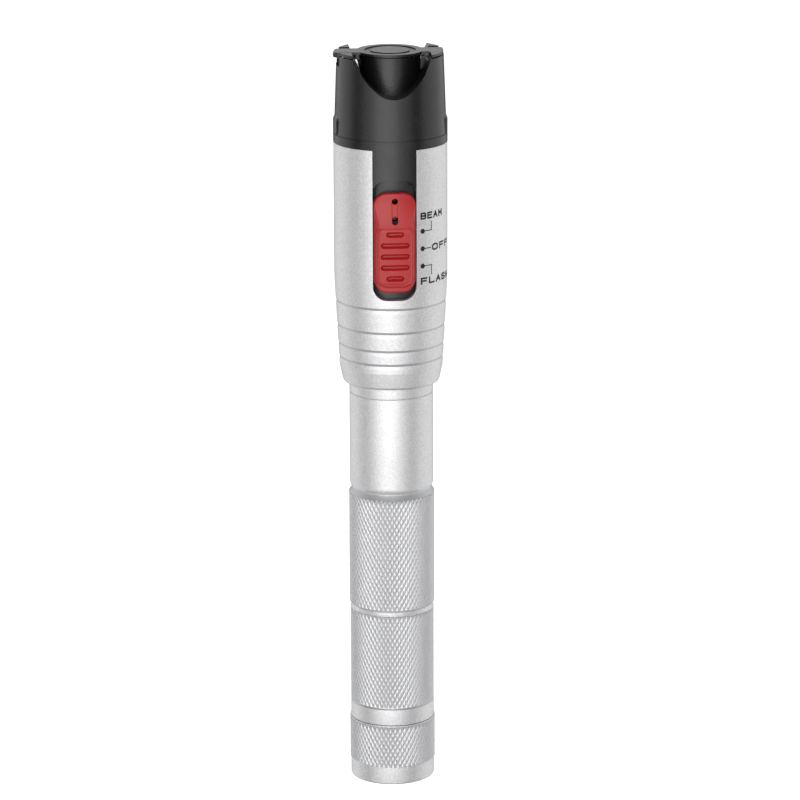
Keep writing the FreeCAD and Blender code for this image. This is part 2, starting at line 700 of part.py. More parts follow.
def make_positive_contact():
    """Domed stud that the front cell's nub presses on."""
    return turned("positive_contact", [
        ("0", "cell_top + nub_gap"), ("stud_head_radius - stud_bevel", "cell_top + nub_gap"),
        ("stud_head_radius", "cell_top + nub_gap + stud_bevel"),
        ("stud_head_radius", "insulator_base"),
        ("stud_radius", "insulator_base"), ("stud_radius", "carrier_base + stud_reach"),
        ("0", "carrier_base + stud_reach")])


def arc_width(radius, depth):
    """Half width of a circle about the axis at a distance forward of the axis."""
    return "sqrt(({}) ^ 2 - ({}) ^ 2)".format(radius, depth)


def make_switch_carrier():
    """Black frame inside the head: its ring and spine show, and it holds board and laser."""
    carrier = new_body("carrier_frame")
    rim = "carrier_inner_radius"
    add_turned(carrier, "carrier_section", [
        (rim, "carrier_base"), ("carrier_radius", "carrier_base"),
        ("carrier_radius", "sleeve_top"), ("ring_radius", "sleeve_top"),
        ("ring_radius", "ring_top"), ("collar_radius", "ring_top"),
        ("collar_radius", "ring_top + collar_rise"), (rim, "ring_top + collar_rise"),
        (rim, "sleeve_top"),
        ("laser_radius + fit_clearance", "sleeve_top"),
        ("laser_radius + fit_clearance", "roof_level"), (rim, "roof_level")])
    block = "(carrier_inner_radius + carrier_radius) / 2"
    side = arc_width(block, "board_shoulder")
    under_flange = "roof_level - laser_flange_length - flange_gap"
    add_pad(carrier, "board_seat", "top", "carrier_base", under_flange + " - carrier_base", [
        ("-" + side, "-board_shoulder"), (side, "-board_shoulder", block, 1)])
    add_pocket(carrier, "board_bay", "front", "board_shoulder", "switch_height + bay_gap",
               box_corners("-bay_half_width", "board_base", "bay_half_width", "board_top"))
    add_pocket(carrier, "lever_window", "front", "board_shoulder", "carrier_radius",
               box_corners("-lever_half_width - window_gap",
                           "button_middle - lever_sweep - window_gap",
                           "lever_half_width + window_gap",
                           "button_middle + lever_sweep + window_gap"))
    lamp = "led_radius + fit_clearance"
    add_pocket(carrier, "lamp_holes", "front", "board_shoulder", "carrier_radius",
               ("0", "button_middle + upper_light", lamp),
               ("0", "button_middle + lower_light", lamp))
    hole = "screw_radius + snug_clearance"
    add_pocket(carrier, "screw_holes", "front", "board_shoulder", "screw_length - board_thickness",
               ("screw_offset", "board_base + screw_inset", hole),
               ("-screw_offset", "board_top - screw_inset", hole))
    return join("Fuse", "switch_carrier", carrier, make_spine())


def make_spine():
    """Web that fills the slot above the button, arched over the button's end."""
    half = "(slot_half_width - side_gap)"
    horn = "({} - horn_width)".format(half)
    arch = "(slot_half_width - slot_round)"
    tip = "pocket_top - slot_round + sqrt(slot_round ^ 2 - ({} - {}) ^ 2)".format(horn, arch)
    block = prism("spine_block", "front", "carrier_inner_radius + side_gap", "ring_radius", [
        (half, "sleeve_top"), ("-" + half, "sleeve_top"), ("-" + half, tip), ("-" + horn, tip),
        ("-" + arch, "pocket_top", "slot_round", -1), (arch, "pocket_top"),
        (horn, tip, "slot_round", -1), (half, tip)])
    curve = rod("spine_curve", "top", "0", "0", "slot_base", "spine_radius",
                "sleeve_top - slot_base + cut_margin")
    return join("Common", "spine", block, curve)


def make_circuit_board():
    """Board on the carrier's shoulder, with a hole for each screw."""
    board = new_body("circuit_board")
    hole = "screw_radius + fit_clearance"
    add_pad(board, "board_blank", "front", "board_back", "board_thickness",
            box_corners("-board_half_width", "board_base", "board_half_width", "board_top"),
            ("screw_offset", "board_base + screw_inset", hole),
            ("-screw_offset", "board_top - screw_inset", hole))
    return board


def make_board_screws():
    """Two like pan-head screws that hold the board to the carrier."""
    places = (("screw_offset", "board_base + screw_inset"),
              ("-screw_offset", "board_top - screw_inset"))
    pieces = []
    for index, (across, along) in enumerate(places, start=1):
        head = rod("screw_head_%d" % index, "front", across, along,
                   "board_back - screw_head_height", "screw_head_radius", "screw_head_height")
        shank = rod("screw_shank_%d" % index, "front", across, along, "board_back",
                    "screw_radius", "screw_length - screw_end_gap")
        pieces.append(join("Fuse", "screw_%d" % index, head, shank))
    group = doc.addObject("Part::Compound", "board_screws")
    group.Links = pieces
    group.Label = "board_screws"
    return group


def make_driver_chip():
    """Chip on the back of the board."""
    return labelled(prism("driver_chip", "front", "board_back - chip_height", "chip_height",
                          box_corners("-chip_width / 2", "button_middle - chip_length",
                                      "chip_width / 2", "button_middle")))


def labelled(solid):
    """Give a solid its own name as its label."""
    solid.Label = solid.Name
    return solid


def make_slide_switch():
    """Metal-cased switch on the board's front, with a slot for its lever."""
    switch = new_body("slide_switch")
    half = "switch_length / 2"
    add_pad(switch, "switch_case", "front", "board_face", "switch_height",
            box_corners("-switch_half_width", "button_middle - " + half,
                        "switch_half_width", "button_middle + " + half))
    add_pocket(switch, "lever_slot", "front", "lever_root - lever_clearance", "switch_height",
               box_corners("-lever_half_width - lever_clearance",
                           "button_middle - lever_sweep - lever_clearance",
                           "lever_half_width + lever_clearance",
                           "button_middle + lever_sweep + lever_clearance"))
    return switch


def make_switch_lever():
    """Lever of the switch, which the button carries along."""
    return labelled(prism("switch_lever", "front", "lever_root", "lever_tip - lever_root",
                          round_corners("lever_half_width", "button_middle - lever_half_height",
                                        "button_middle + lever_half_height", "edge_break")))


def make_slide_button():
    """Red slide: a hollowed base that follows the head's curve, a thumb pad with grip grooves,
    and a channel with two light holes above the pad."""
    base = join("Common", "button_base_form",
                prism("button_block", "front", "carrier_inner_radius", "ring_radius",
                      round_corners("button_half_width", "button_base",
                                    "button_base + button_length", "button_round")),
                rod("button_curve", "top", "0", "0", "button_base - cut_margin",
                    "button_radius", "button_length + 2 * cut_margin"))
    pad = join("Common", "thumb_pad_form",
               prism("thumb_pad_block", "front", "carrier_inner_radius", "ring_radius",
                     round_corners("pad_half_width", "pad_base", "pad_base + pad_length",
                                   "pad_round")),
               rod("thumb_pad_curve", "top", "0", "0", "pad_base - cut_margin", "pad_radius",
                   "pad_length + 2 * cut_margin"))
    blank = join("Fuse", "button_blank", base, pad)
    cutters = [ridge_cutter(index) for index in range(RIDGES)]
    channel = [("-light_hole_radius", "button_middle + lower_light"),
               ("light_hole_radius", "button_middle + lower_light"),
               ("light_hole_radius", "button_middle + upper_light"),
               ("-light_hole_radius", "button_middle + upper_light")]
    cutters.append(prism("light_channel", "front", "button_radius - light_channel_depth",
                         "ring_radius", channel))
    for name, place in (("upper_light_hole", "upper_light"), ("lower_light_hole", "lower_light")):
        cutters.append(rod(name, "front", "0", "button_middle + " + place,
                           "carrier_inner_radius", "light_hole_radius", "ring_radius"))
    cutters.append(rod("button_hollow", "top", "0", "0", "button_base - cut_margin",
                       "back_radius", "button_length + 2 * cut_margin"))
    cutters.append(prism("lever_seat_hole", "front", "carrier_inner_radius",
                         "lever_tip + lever_clearance - carrier_inner_radius",
                         box_corners("-lever_half_width - lever_clearance",
                                     "button_middle - lever_half_height - lever_clearance",
                                     "lever_half_width + lever_clearance",
                                     "button_middle + lever_half_height + lever_clearance")))
    return join("Cut", "slide_button", blank, fuse_all("button_cutters", *cutters))


def ridge_cutter(index):
    """One grip groove: the end ones are short, and all follow the pad's curve."""
    half = "short_ridge" if index in (0, RIDGES - 1) else "long_ridge"
    share = "{} / {} * (pad_length - ridge_start - ridge_end)".format(index, RIDGES - 1)
    low = "pad_base + ridge_start + {} - ridge_height / 2".format(share)
    block = prism("ridge_block_%d" % index, "front", "carrier_inner_radius", "ring_radius",
                  round_corners(half, low, low + " + ridge_height", "ridge_round"))
    core = rod("ridge_core_%d" % index, "top", "0", "0", low + " - cut_margin",
               "pad_radius - ridge_depth", "ridge_height + 2 * cut_margin")
    return join("Cut", "ridge_%d" % index, block, core)


def make_led(name, place):
    """Small lamp on the board, with a domed tip."""
    along = "button_middle + " + place
    stem = rod(name + "_stem", "front", "0", along, "board_face", "led_radius",
               "led_reach - led_radius - board_face")
    dome = doc.addObject("Part::Sphere", name + "_dome")
    dome.setExpression("Radius", bind("led_radius"))
    dome.setExpression("Placement.Base.y", bind("-(led_reach - led_radius)"))
    dome.setExpression("Placement.Base.z", bind(along))
    return join("Fuse", name, stem, dome)


def make_laser_housing():
    """Brass tube with a flange under the roof, and seats for the diode and the lens."""
    diode = "diode_radius + snug_clearance"
    can = "diode_can_radius + fit_clearance"
    lens = "lens_radius + snug_clearance"
    return turned("laser_housing", [
        (diode, "roof_level - laser_flange_length"),
        ("laser_flange_radius", "roof_level - laser_flange_length"),
        ("laser_flange_radius", "roof_level"), ("laser_radius", "roof_level"),
        ("laser_radius", "cavity_top"), (lens, "cavity_top"), (lens, "lens_base"),
        (can, "lens_base"), (can, "roof_level - laser_flange_length + diode_flange"),
        (diode, "roof_level - laser_flange_length + diode_flange")])


def make_laser_diode():
    """Metal can on a flange, with three leads."""
    base = "roof_level - laser_flange_length"
    can = turned("diode_can", [
        ("0", base), ("diode_radius", base), ("diode_radius", base + " + diode_flange"),
        ("diode_can_radius", base + " + diode_flange"),
        ("diode_can_radius", base + " + diode_flange + diode_can_length"),
        ("0", base + " + diode_flange + diode_can_length")])
    leads = [rod("lead_%d" % angle, "top",
                 "lead_circle * {:.4f}".format(math.cos(math.radians(angle))),
                 "lead_circle * {:.4f}".format(math.sin(math.radians(angle))),
                 base + " - lead_length", "lead_radius", "lead_length + diode_flange / 2")
             for angle in LEAD_ANGLES]
    return fuse_all("laser_diode", can, *leads)


def make_collimating_lens():
    """Plano-convex lens on its seat."""
    bow = "(lens_radius ^ 2 + lens_bow ^ 2) / (2 * lens_bow)"
    return turned("collimating_lens", [
        ("0", "lens_base"), ("lens_radius", "lens_base"),
        ("lens_radius", "lens_base + lens_length - lens_bow"),
        ("0", "lens_base + lens_length", bow, 1)])


def make_lens_ring():
    """Screwed ring that holds the lens down at its edge."""
    low = "lens_base + lens_length - lens_bow"
    return turned("lens_ring", [
        ("lens_radius - ring_bite", low + " + ring_bite_rise"), ("lens_radius", low),
        ("lens_radius", low + " + lens_ring_length"),
        ("lens_aperture", low + " + lens_ring_length"),
        ("lens_aperture", low + " + lens_bow + lens_gap")])


def make_port_body():
    """Metal port that holds the ceramic guide, stepped down into the laser housing."""
    guide = "guide_radius + guide_clearance"
    return turned("port_body", [
        ("guide_radius - guide_ledge", "cavity_top - port_neck_length"),
        ("port_neck_radius", "cavity_top - port_neck_length"),
        ("port_neck_radius", "cavity_top"), ("port_radius", "cavity_top"),
        ("port_radius", "port_top - edge_break"), ("port_radius - edge_break", "port_top"),
        ("ferrule_radius + snug_clearance + port_chamfer", "port_top"),
        ("ferrule_radius + snug_clearance", "port_top - port_chamfer"),
        ("ferrule_radius + snug_clearance", "port_top - port_lip"),
        (guide, "port_top - port_lip"), (guide, "port_top - port_lip - guide_length"),
        ("guide_radius - guide_ledge", "port_top - port_lip - guide_length")])


def make_ceramic_sleeve():
    """Split guide that grips the ferrule."""
    guide = new_body("ceramic_sleeve")
    low, high = "port_top - port_lip - guide_length", "port_top - port_lip"
    add_turned(guide, "guide_section",
               box_corners("ferrule_radius", low, "guide_radius", high))
    add_pocket(guide, "guide_slit_cut", "front", "0", "guide_radius + cut_margin",
               box_corners("-guide_slit / 2", low + " - cut_margin",
                           "guide_slit / 2", high + " + cut_margin"))
    return guide


def make_front_housing():
    """Black front: a tapered shell with finger scoops right through, two posts and the column
    that guards the port. The left post carries the lid's hinge."""
    front = new_body("front_housing")
    mouth = "collar_radius + fit_clearance"
    add_turned(front, "front_form", [
        ("0", "cavity_top"), (mouth, "cavity_top"), (mouth, "ring_top"),
        ("front_base_radius", "ring_top"), ("front_top_radius", "lid_top"), ("0", "lid_top")])
    bend = "(scoop_bend_width ^ 2 + scoop_bend_rise ^ 2) / (2 * scoop_bend_rise)"
    slope = "(scoop_mouth_width - scoop_flank_width) / (lid_top - scoop_base - scoop_flank_rise)"
    wide = "scoop_mouth_width + cut_margin * " + slope
    add_pocket(front, "finger_scoops", "front", "-front_base_radius", "2 * front_base_radius", [
        ("-({})".format(wide), "lid_top + cut_margin"),
        ("-scoop_flank_width", "scoop_base + scoop_flank_rise"),
        ("-scoop_bend_width", "scoop_base + scoop_bend_rise", "scoop_flank_radius", 1),
        ("scoop_bend_width", "scoop_base + scoop_bend_rise", bend, 1),
        ("scoop_flank_width", "scoop_base + scoop_flank_rise", "scoop_flank_radius", 1),
        (wide, "lid_top + cut_margin")])
    add_pad(front, "column", "top", "cavity_top", "column_top - cavity_top",
            ("0", "0", "column_radius"))
    add_pad(front, "column_rib", "top", "cavity_top", "hook_base - rib_gap - cavity_top",
            box_corners("column_radius - lid_thickness", "-rib_half_width",
                        "scoop_mouth_width", "rib_half_width"))
    add_turned(front, "port_bore", [
        ("0", "cavity_top"), ("port_radius + fit_clearance", "cavity_top"),
        ("port_radius + fit_clearance", "port_top"), ("port_recess_radius", "port_top"),
        ("port_recess_radius", "column_top + cut_margin"), ("0", "column_top + cut_margin")],
        kind="Groove")
    add_pocket(front, "wing_seats", "top", "post_top", "lid_top - post_top + cut_margin",
               box_corners("scoop_flank_width", "-front_base_radius",
                           "front_base_radius", "rear_step"),
               box_corners("-front_base_radius", "-arm_front - arm_gap",
                           "-scoop_flank_width", "rear_step"))
    add_side_pads(front)
    wall = "knuckle_radius + hinge_clearance - hinge_offset"
    depth = "sqrt(notch_radius ^ 2 - (knuckle_radius + hinge_clearance) ^ 2)"
    add_pocket(front, "hinge_notch", "front", "-arm_back - lug_gap",
               "arm_front + arm_back + 2 * lug_gap", [
        (wall, "lid_top + cut_margin"), ("-hinge_offset - notch_radius", "lid_top + cut_margin"),
        ("-hinge_offset - notch_radius", "hinge_level"),
        (wall, "hinge_level - " + depth, "notch_radius", 1)])
    add_pocket(front, "pin_hole", "front", "-pin_half_length", "2 * pin_half_length",
               ("-hinge_offset", "hinge_level", "pin_radius + pin_fit"))
    return front


def add_side_pads(front):
    """Two raised pads at the sides, ramped into the taper."""
    low = "ring_top + ear_rise"
    pad = add_turned(front, "side_pad", [
        ("front_top_radius - ear_root", low), ("ring_radius", low),
        ("ring_radius", low + " + ear_length"),
        ("front_top_radius + ear_lip", low + " + ear_length + ear_ramp"),
        ("front_top_radius - ear_root", low + " + ear_length + ear_ramp")],
        angle="ear_angle", centred=True)
    doc.recompute()
    pattern = front.newObject("PartDesign::PolarPattern", "side_pads")
    pattern.Originals = [pad]
    axis = [item for item in front.Origin.OriginFeatures if item.Role == "Z_Axis"][0]
    pattern.Axis = (axis, [""])
    pattern.Angle = 360
    pattern.Occurrences = 2
    front.Tip = pattern


def make_dust_lid():
    """Thin lid: a grooved disc over the port, arms to a wing and to the hinge, snap hooks."""
    lid = new_body("dust_lid")
    add_pad(lid, "lid_disc", "top", "lid_base", "lid_thickness", ("0", "0", "lid_disc_radius"))
    corner = arc_width("wing_radius", "arm_back")
    add_pad(lid, "lid_arms", "top", "lid_base", "lid_thickness",
            box_corners("-hinge_offset", "-arm_front",
                        "(wing_inner + wing_radius) / 2", "arm_back"))
    add_pad(lid, "lid_wing", "top", "lid_base", "lid_thickness", [
        ("wing_inner", "arm_back"), ("wing_inner", "-wing_front"),
        (arc_width("wing_radius", "wing_front"), "-wing_front"),
        (corner, "arm_back", "wing_radius", 1)])
    add_pad(lid, "hinge_lug", "top", "lid_top - lug_thickness", "lug_thickness", [
        ("-hinge_offset", "arm_back"), ("-wing_radius", "arm_back"),
        ("-lug_end", "lug_tip_back"), ("-lug_end", "-lug_tip_front"),
        ("-wing_radius", "-arm_front"),
        ("-hinge_offset", "-arm_front")])
    add_pad(lid, "knuckle", "front", "-arm_back", "arm_front + arm_back",
            ("-hinge_offset", "hinge_level", "knuckle_radius"))
    hook = [
        ("hook_outer - hook_wall", "lid_base + lid_thickness / 2"),
        ("hook_outer - hook_wall", "hook_base + hook_toe_height"),
        ("hook_outer - hook_wall - hook_toe", "hook_base + hook_toe_height"),
        ("hook_outer - hook_wall - hook_toe", "hook_base"),
        ("hook_outer", "hook_base"), ("hook_outer", "lid_base + lid_thickness / 2")]
    mirrored = [("-(" + across + ")", along) for across, along in reversed(hook)]
    add_pad(lid, "snap_hooks", "front", "-hook_half_width", "2 * hook_half_width", hook, mirrored)
    add_pocket(lid, "lug_bevel_cut", "front", "-front_base_radius", "2 * front_base_radius", [
        ("-lug_end - cut_margin", "lid_top + cut_margin"),
        ("-lug_end - cut_margin", "lid_top - lug_bevel - cut_margin"),
        ("-lug_end + lug_bevel + cut_margin", "lid_top + cut_margin")])
    add_pocket(lid, "lid_groove", "top", "lid_top - lid_groove_depth",
               "lid_groove_depth + cut_margin",
               ("0", "0", "lid_groove_outer"), ("0", "0", "lid_groove_inner"))
    add_pocket(lid, "hinge_bore", "front", "-arm_back - cut_margin",
               "arm_front + arm_back + 2 * cut_margin",
               ("-hinge_offset", "hinge_level", "pin_radius + pin_play"))
    return lid


def make_lid_plug():
    """Soft plug under the lid that closes the port."""
    low = "lid_base - plug_length"
    return turned("lid_plug", [
        ("0", low), ("plug_radius - edge_break", low), ("plug_radius", low + " + edge_break"),
        ("plug_radius", "lid_base"), ("0", "lid_base")])


def make_hinge_pin():
    return labelled(rod("hinge_pin", "front", "-hinge_offset", "hinge_level", "-pin_half_length",
                        "pin_radius", "2 * pin_half_length"))


def build_parts():
    """Every piece of the tester, from the tail to the lid."""
    return [
        make_tail_cap(), make_tail_contact(), make_tail_spring(), make_barrel(),
        make_tail_seal(), make_cell("battery_rear", "rear_cell_base"),
        make_cell("battery_front", "front_cell_base"), make_neck_adapter(), make_neck_seal(),
        make_head_sleeve(), make_contact_insulator(), make_positive_contact(),
        make_switch_carrier(), make_circuit_board(), make_board_screws(), make_driver_chip(),
        make_slide_switch(), make_switch_lever(), make_slide_button(),
        make_led("status_led_upper", "upper_light"), make_led("status_led_lower", "lower_light"),
        make_laser_housing(), make_laser_diode(), make_collimating_lens(), make_lens_ring(),
        make_port_body(), make_ceramic_sleeve(), make_front_housing(), make_dust_lid(),
        make_lid_plug(), make_hinge_pin(),
    ]


def check_document(parts):
    """Stop on a failed object, an empty or invalid shape, or a cut that removed nothing."""
    for item in doc.Objects:
        if "Invalid" in item.State or "Error" in item.State:
            raise RuntimeError("failed: " + item.Name)
        if item.TypeId in ("PartDesign::Pocket", "PartDesign::Groove"):
            if item.Shape.Volume >= item.BaseFeature.Shape.Volume - 1e-6:
                raise RuntimeError("cuts nothing: " + item.Name)
    for part in parts:
        if part.Shape.isNull() or not part.Shape.isValid():
            raise RuntimeError("bad shape: " + part.Label)


def write_parts(parts):
    """One STEP file to each piece, named by its label."""
    os.makedirs("parts", exist_ok=True)
    for part in parts:
        part.Shape.exportStep("parts/%s.step" % part.Label)


parts = build_parts()
doc.recompute()
check_document(parts)
write_parts(parts)
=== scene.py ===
import math

import bmesh
import bpy
from bpy.props import FloatProperty, IntProperty, PointerProperty, StringProperty
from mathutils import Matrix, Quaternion, Vector


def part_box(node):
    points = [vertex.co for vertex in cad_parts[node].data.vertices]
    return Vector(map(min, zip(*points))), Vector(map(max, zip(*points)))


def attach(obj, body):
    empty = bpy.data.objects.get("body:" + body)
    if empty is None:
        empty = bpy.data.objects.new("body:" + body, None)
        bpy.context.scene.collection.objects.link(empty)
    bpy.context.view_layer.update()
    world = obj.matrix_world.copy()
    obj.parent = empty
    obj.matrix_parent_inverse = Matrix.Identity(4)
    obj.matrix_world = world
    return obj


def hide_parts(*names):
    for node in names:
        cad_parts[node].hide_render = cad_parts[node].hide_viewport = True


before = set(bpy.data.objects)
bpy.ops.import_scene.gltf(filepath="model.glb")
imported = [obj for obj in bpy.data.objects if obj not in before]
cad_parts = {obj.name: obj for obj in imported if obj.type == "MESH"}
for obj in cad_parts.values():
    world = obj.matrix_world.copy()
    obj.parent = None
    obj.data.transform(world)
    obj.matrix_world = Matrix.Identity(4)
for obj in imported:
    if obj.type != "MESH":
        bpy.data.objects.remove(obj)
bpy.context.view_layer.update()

bl_info = {
    "name": "Fault locator finish",
    "version": (1, 0, 0),
    "blender": (4, 5, 0),
    "location": "3D View > Sidebar > Fault locator",
    "description": "Finished surfaces and studio for a pen-type visual fault locator",
    "category": "Object",
}

MM = 0.001
TINY = 1e-7                     # metres: a radius or gap below this is none
WELD = 1e-6                     # metres: corners of a mesh this near are one
FLAT = 0.05                     # degrees: faces that turn less than this are one
SHARP = 35                      # degrees: edges of a CAD node that turn more get a round
SEGMENTS = 216                  # faces round a turned piece
TURNED_LIMIT = 0.1              # how far a turned face's normal may lean aside
MOULD_ROUND = 0.08 * MM         # round on the edges of a moulded piece


# Small tools for meshes and nodes

def linear_colour(code):
    """An sRGB hex colour as linear red, green, blue and alpha."""
    channels = [int(code[start:start + 2], 16) / 255 for start in (0, 2, 4)]
    linear = [part / 12.92 if part <= 0.04045 else ((part + 0.055) / 1.055) ** 2.4
              for part in channels]
    return (*linear, 1.0)


def add_node(tree, kind, settings=None):
    """A node with its settings: its own properties, the values of its inputs, and the sockets or
    nodes that link to them."""
    node = tree.nodes.new(kind)
    for name, value in (settings or {}).items():
        if isinstance(value, bpy.types.Node):
            value = value.outputs[0]
        if isinstance(value, bpy.types.NodeSocket):
            tree.links.new(value, node.inputs[name])
        elif isinstance(name, str) and hasattr(node, name):
            setattr(node, name, value)
        else:
            node.inputs[name].default_value = value
    return node


def new_piece(name, mesh):
    """An object for a mesh, linked to the scene."""
    piece = bpy.data.objects.new(name, mesh)
    bpy.context.scene.collection.objects.link(piece)
    return piece


def mesh_of(shape, name):
    """The mesh of an edited shape, which is freed."""
    mesh = bpy.data.meshes.new(name)
    shape.to_mesh(mesh)
    shape.free()
    return mesh


def take_mesh(piece):
    """The mesh of a piece, whose object is removed."""
    mesh = piece.data
    bpy.data.objects.remove(piece)
    return mesh


def bake_modifiers(piece):
    """Turn a piece and its modifiers into one plain mesh."""
    graph = bpy.context.evaluated_depsgraph_get()
    mesh = bpy.data.meshes.new_from_object(piece.evaluated_get(graph))
    rough = piece.data
    piece.modifiers.clear()
    piece.data = mesh
    bpy.data.meshes.remove(rough)


def smooth(mesh, degrees=32):
    """Smooth shading with sharp edges where faces turn by more than the angle."""
    mesh.shade_smooth()
    mesh.set_sharp_from_angle(angle=math.radians(degrees))


def paint(piece, *materials):
    """The materials of a piece, in the order of its faces' numbers."""
    piece.data.materials.clear()
    for material in materials:
        piece.data.materials.append(material)


def shade(piece, material, degrees=32):
    """One material and smooth shading."""
    paint(piece, material)
    smooth(piece.data, degrees)


def number_faces(mesh, number, test):
    """Give the faces whose middle (radius, level) passes the test a material's number."""
    for face in mesh.polygons:
        if test(math.hypot(face.center.x, face.center.y), face.center.z):
            face.material_index = number


def true_normals(piece, degrees=32):
    """Normals weighted by area, so that an edge round doesn't bend the shading of the faces
    beside it. On a face turned about the axis they point exactly along the radius."""
    mesh = piece.data
    limit = math.cos(math.radians(degrees))
    turned, around = {}, [[] for vertex in mesh.vertices]
    for face in mesh.polygons:
        out = Vector((face.center.x, face.center.y, 0)).normalized()
        across = face.normal.dot(out)
        aside = face.normal - out * across
        if math.hypot(aside.x, aside.y) < TURNED_LIMIT < abs(across):
            turned[face.index] = across
        for vertex in face.vertices:
            around[vertex].append(face)

    def normal_at(face, out):
        if face.index not in turned:
            return face.normal
        return (out * turned[face.index] + Vector((0, 0, face.normal.z))).normalized()

    normals = [Vector((0, 0, 1))] * len(mesh.loops)
    for face in mesh.polygons:
        for loop, vertex in zip(face.loop_indices, face.vertices):
            spot = mesh.vertices[vertex].co
            out = Vector((spot.x, spot.y, 0)).normalized()
            own = normal_at(face, out)
            total = Vector()
            for other in around[vertex]:
                beside = normal_at(other, out)
                if beside.dot(own) > limit:
                    total += beside * other.area
            normals[loop] = total.normalized() if total.length > 0 else own
    mesh.normals_split_custom_set(normals)


def settle(piece, body, slot, *nodes):
    """Let a finished piece ride on its body and stand for its CAD nodes."""
    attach(piece, body)
    if nodes:
        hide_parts(*nodes)


def dress(piece, material, body, slot, node):
    """Shade a copy of a CAD node in one material, and settle it in that node's place."""
    shade(piece, material)
    true_normals(piece)
    settle(piece, body, slot, node)


def rounded(corners, steps=4):
    """Corners (radius, level, round) of a section, with each round drawn as a short curve."""
    points = []
    for index, (across, along, size) in enumerate(corners):
        here = Vector((across, along))
        if size <= 0:
            points.append(here)
            continue
        before = Vector(corners[index - 1][:2]) - here
        after = Vector(corners[(index + 1) % len(corners)][:2]) - here
        start = here + before.normalized() * min(size, before.length / 2)
        end = here + after.normalized() * min(size, after.length / 2)
        for step in range(steps + 1):
            share = step / steps
            points.append(start.lerp(here, share).lerp(here.lerp(end, share), share))
    return points


def place_at(radius, turn, level):
    """The place at a distance from the axis, an angle from the front and a level."""
    return radius * math.sin(turn), -radius * math.cos(turn), level


def lathe(name, points):
    """A closed section of (radius, level) points turned about the Z axis."""
    shape = bmesh.new()
    rings = []
    for radius, level in points:
        turns = [math.tau * step / SEGMENTS for step in range(SEGMENTS)]
        if radius < TINY:
            turns = [0.0]
        rings.append([shape.verts.new(place_at(radius, turn, level)) for turn in turns])
    for ring, after in zip(rings, rings[1:] + rings[:1]):
        for step in range(SEGMENTS):
            beside = (step + 1) % SEGMENTS
            corners = [ring[step % len(ring)], ring[beside % len(ring)],
                       after[beside % len(after)], after[step % len(after)]]
            corners = list(dict.fromkeys(corners))
            if len(corners) > 2:
                shape.faces.new(corners)
    bmesh.ops.remove_doubles(shape, verts=shape.verts, dist=TINY)
    bmesh.ops.recalc_face_normals(shape, faces=shape.faces)
    return mesh_of(shape, name)


def cut_away(piece, cutter):
    """Remove a cutter's space from a piece."""
    cut = piece.modifiers.new("cut", "BOOLEAN")
    cut.operation = "DIFFERENCE"
    cut.solver = "EXACT"
    cut.object = cutter
    bake_modifiers(piece)
    bpy.data.meshes.remove(take_mesh(cutter))


def soft_edges(piece, width, degrees=None):
    """A small round on each edge that turns by more than the angle, or by the edges' weights."""
    bevel = piece.modifiers.new("edge_round", "BEVEL")
    bevel.width = width
    bevel.segments = 2
    bevel.limit_method = "WEIGHT"
    if degrees:
        bevel.limit_method = "ANGLE"
        bevel.angle_limit = math.radians(degrees)
    bevel.use_clamp_overlap = True
    bake_modifiers(piece)


def cad_copy(node, name, width, rim_width=0.0, is_rim=None):
    """A welded copy of a CAD node, with flat faces made whole and its edges rounded. Edges that
    pass the test is_rim take the wider round."""
    shape = bmesh.new()
    shape.from_mesh(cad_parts[node].data)
    bmesh.ops.remove_doubles(shape, verts=shape.verts, dist=WELD)
    bmesh.ops.dissolve_limit(shape, angle_limit=math.radians(FLAT), verts=shape.verts,
                             edges=shape.edges)
    widest = max(width, rim_width)
    weights = shape.edges.layers.float.new("bevel_weight_edge")
    for edge in shape.edges:
        if len(edge.link_faces) == 2 and edge.calc_face_angle() > math.radians(SHARP):
            edge[weights] = (rim_width if is_rim and is_rim(edge) else width) / widest
    piece = new_piece(name, mesh_of(shape, name))
    soft_edges(piece, widest)
    return piece


def quilt(shape, lines):
    """Faces between each line of vertices and the next."""
    for line, above in zip(lines, lines[1:]):
        for step in range(len(line) - 1):
            shape.faces.new([line[step], line[step + 1], above[step + 1], above[step]])


def skin(shape, rings):
    """Faces round a row of rings, and over the first and the last."""
    quilt(shape, [ring + ring[:1] for ring in rings])
    shape.faces.new(rings[0])
    shape.faces.new(list(reversed(rings[-1])))


def block(name, rings):
    """A closed piece from rings of (x, y, z) corners."""
    shape = bmesh.new()
    skin(shape, [[shape.verts.new(corner) for corner in ring] for ring in rings])
    bmesh.ops.recalc_face_normals(shape, faces=shape.faces)
    return new_piece(name, mesh_of(shape, name))


def prism_between(name, corners, front, back):
    """A block with an outline of (x, z) corners between two distances forward of the axis."""
    return block(name, [[(x, -depth, z) for x, z in corners] for depth in (front, back)])


def merged(piece, extra):
    """Add a mesh to a piece's own mesh, and remove it."""
    shape = bmesh.new()
    for mesh in (piece.data, extra):
        shape.from_mesh(mesh)
    shape.to_mesh(piece.data)
    shape.free()
    bpy.data.meshes.remove(extra)


def sector(name, radii, degrees, levels, steps=12):
    """A piece of a ring between two radii, two angles from the front and two levels."""
    (inner, outer), (start, end), (low, high) = radii, degrees, levels
    section = ((inner, low), (outer, low), (outer, high), (inner, high))
    turns = [math.radians(start + (end - start) * step / steps) for step in range(steps + 1)]
    return block(name, [[place_at(radius, turn, level) for radius, level in section]
                        for turn in turns])


# Sizes and colours that a user may change

def length(label, value, note):
    """A length property with its default in millimetres."""
    return FloatProperty(name=label, description=note, default=value * MM, unit="LENGTH",
                         precision=5)


def angle(label, value, note):
    """An angle property with its default in degrees."""
    return FloatProperty(name=label, description=note, default=math.radians(value),
                         subtype="ANGLE")


def colour(label, code, note):
    """A colour property, as sRGB hex."""
    return StringProperty(name=label, description=note, default=code)


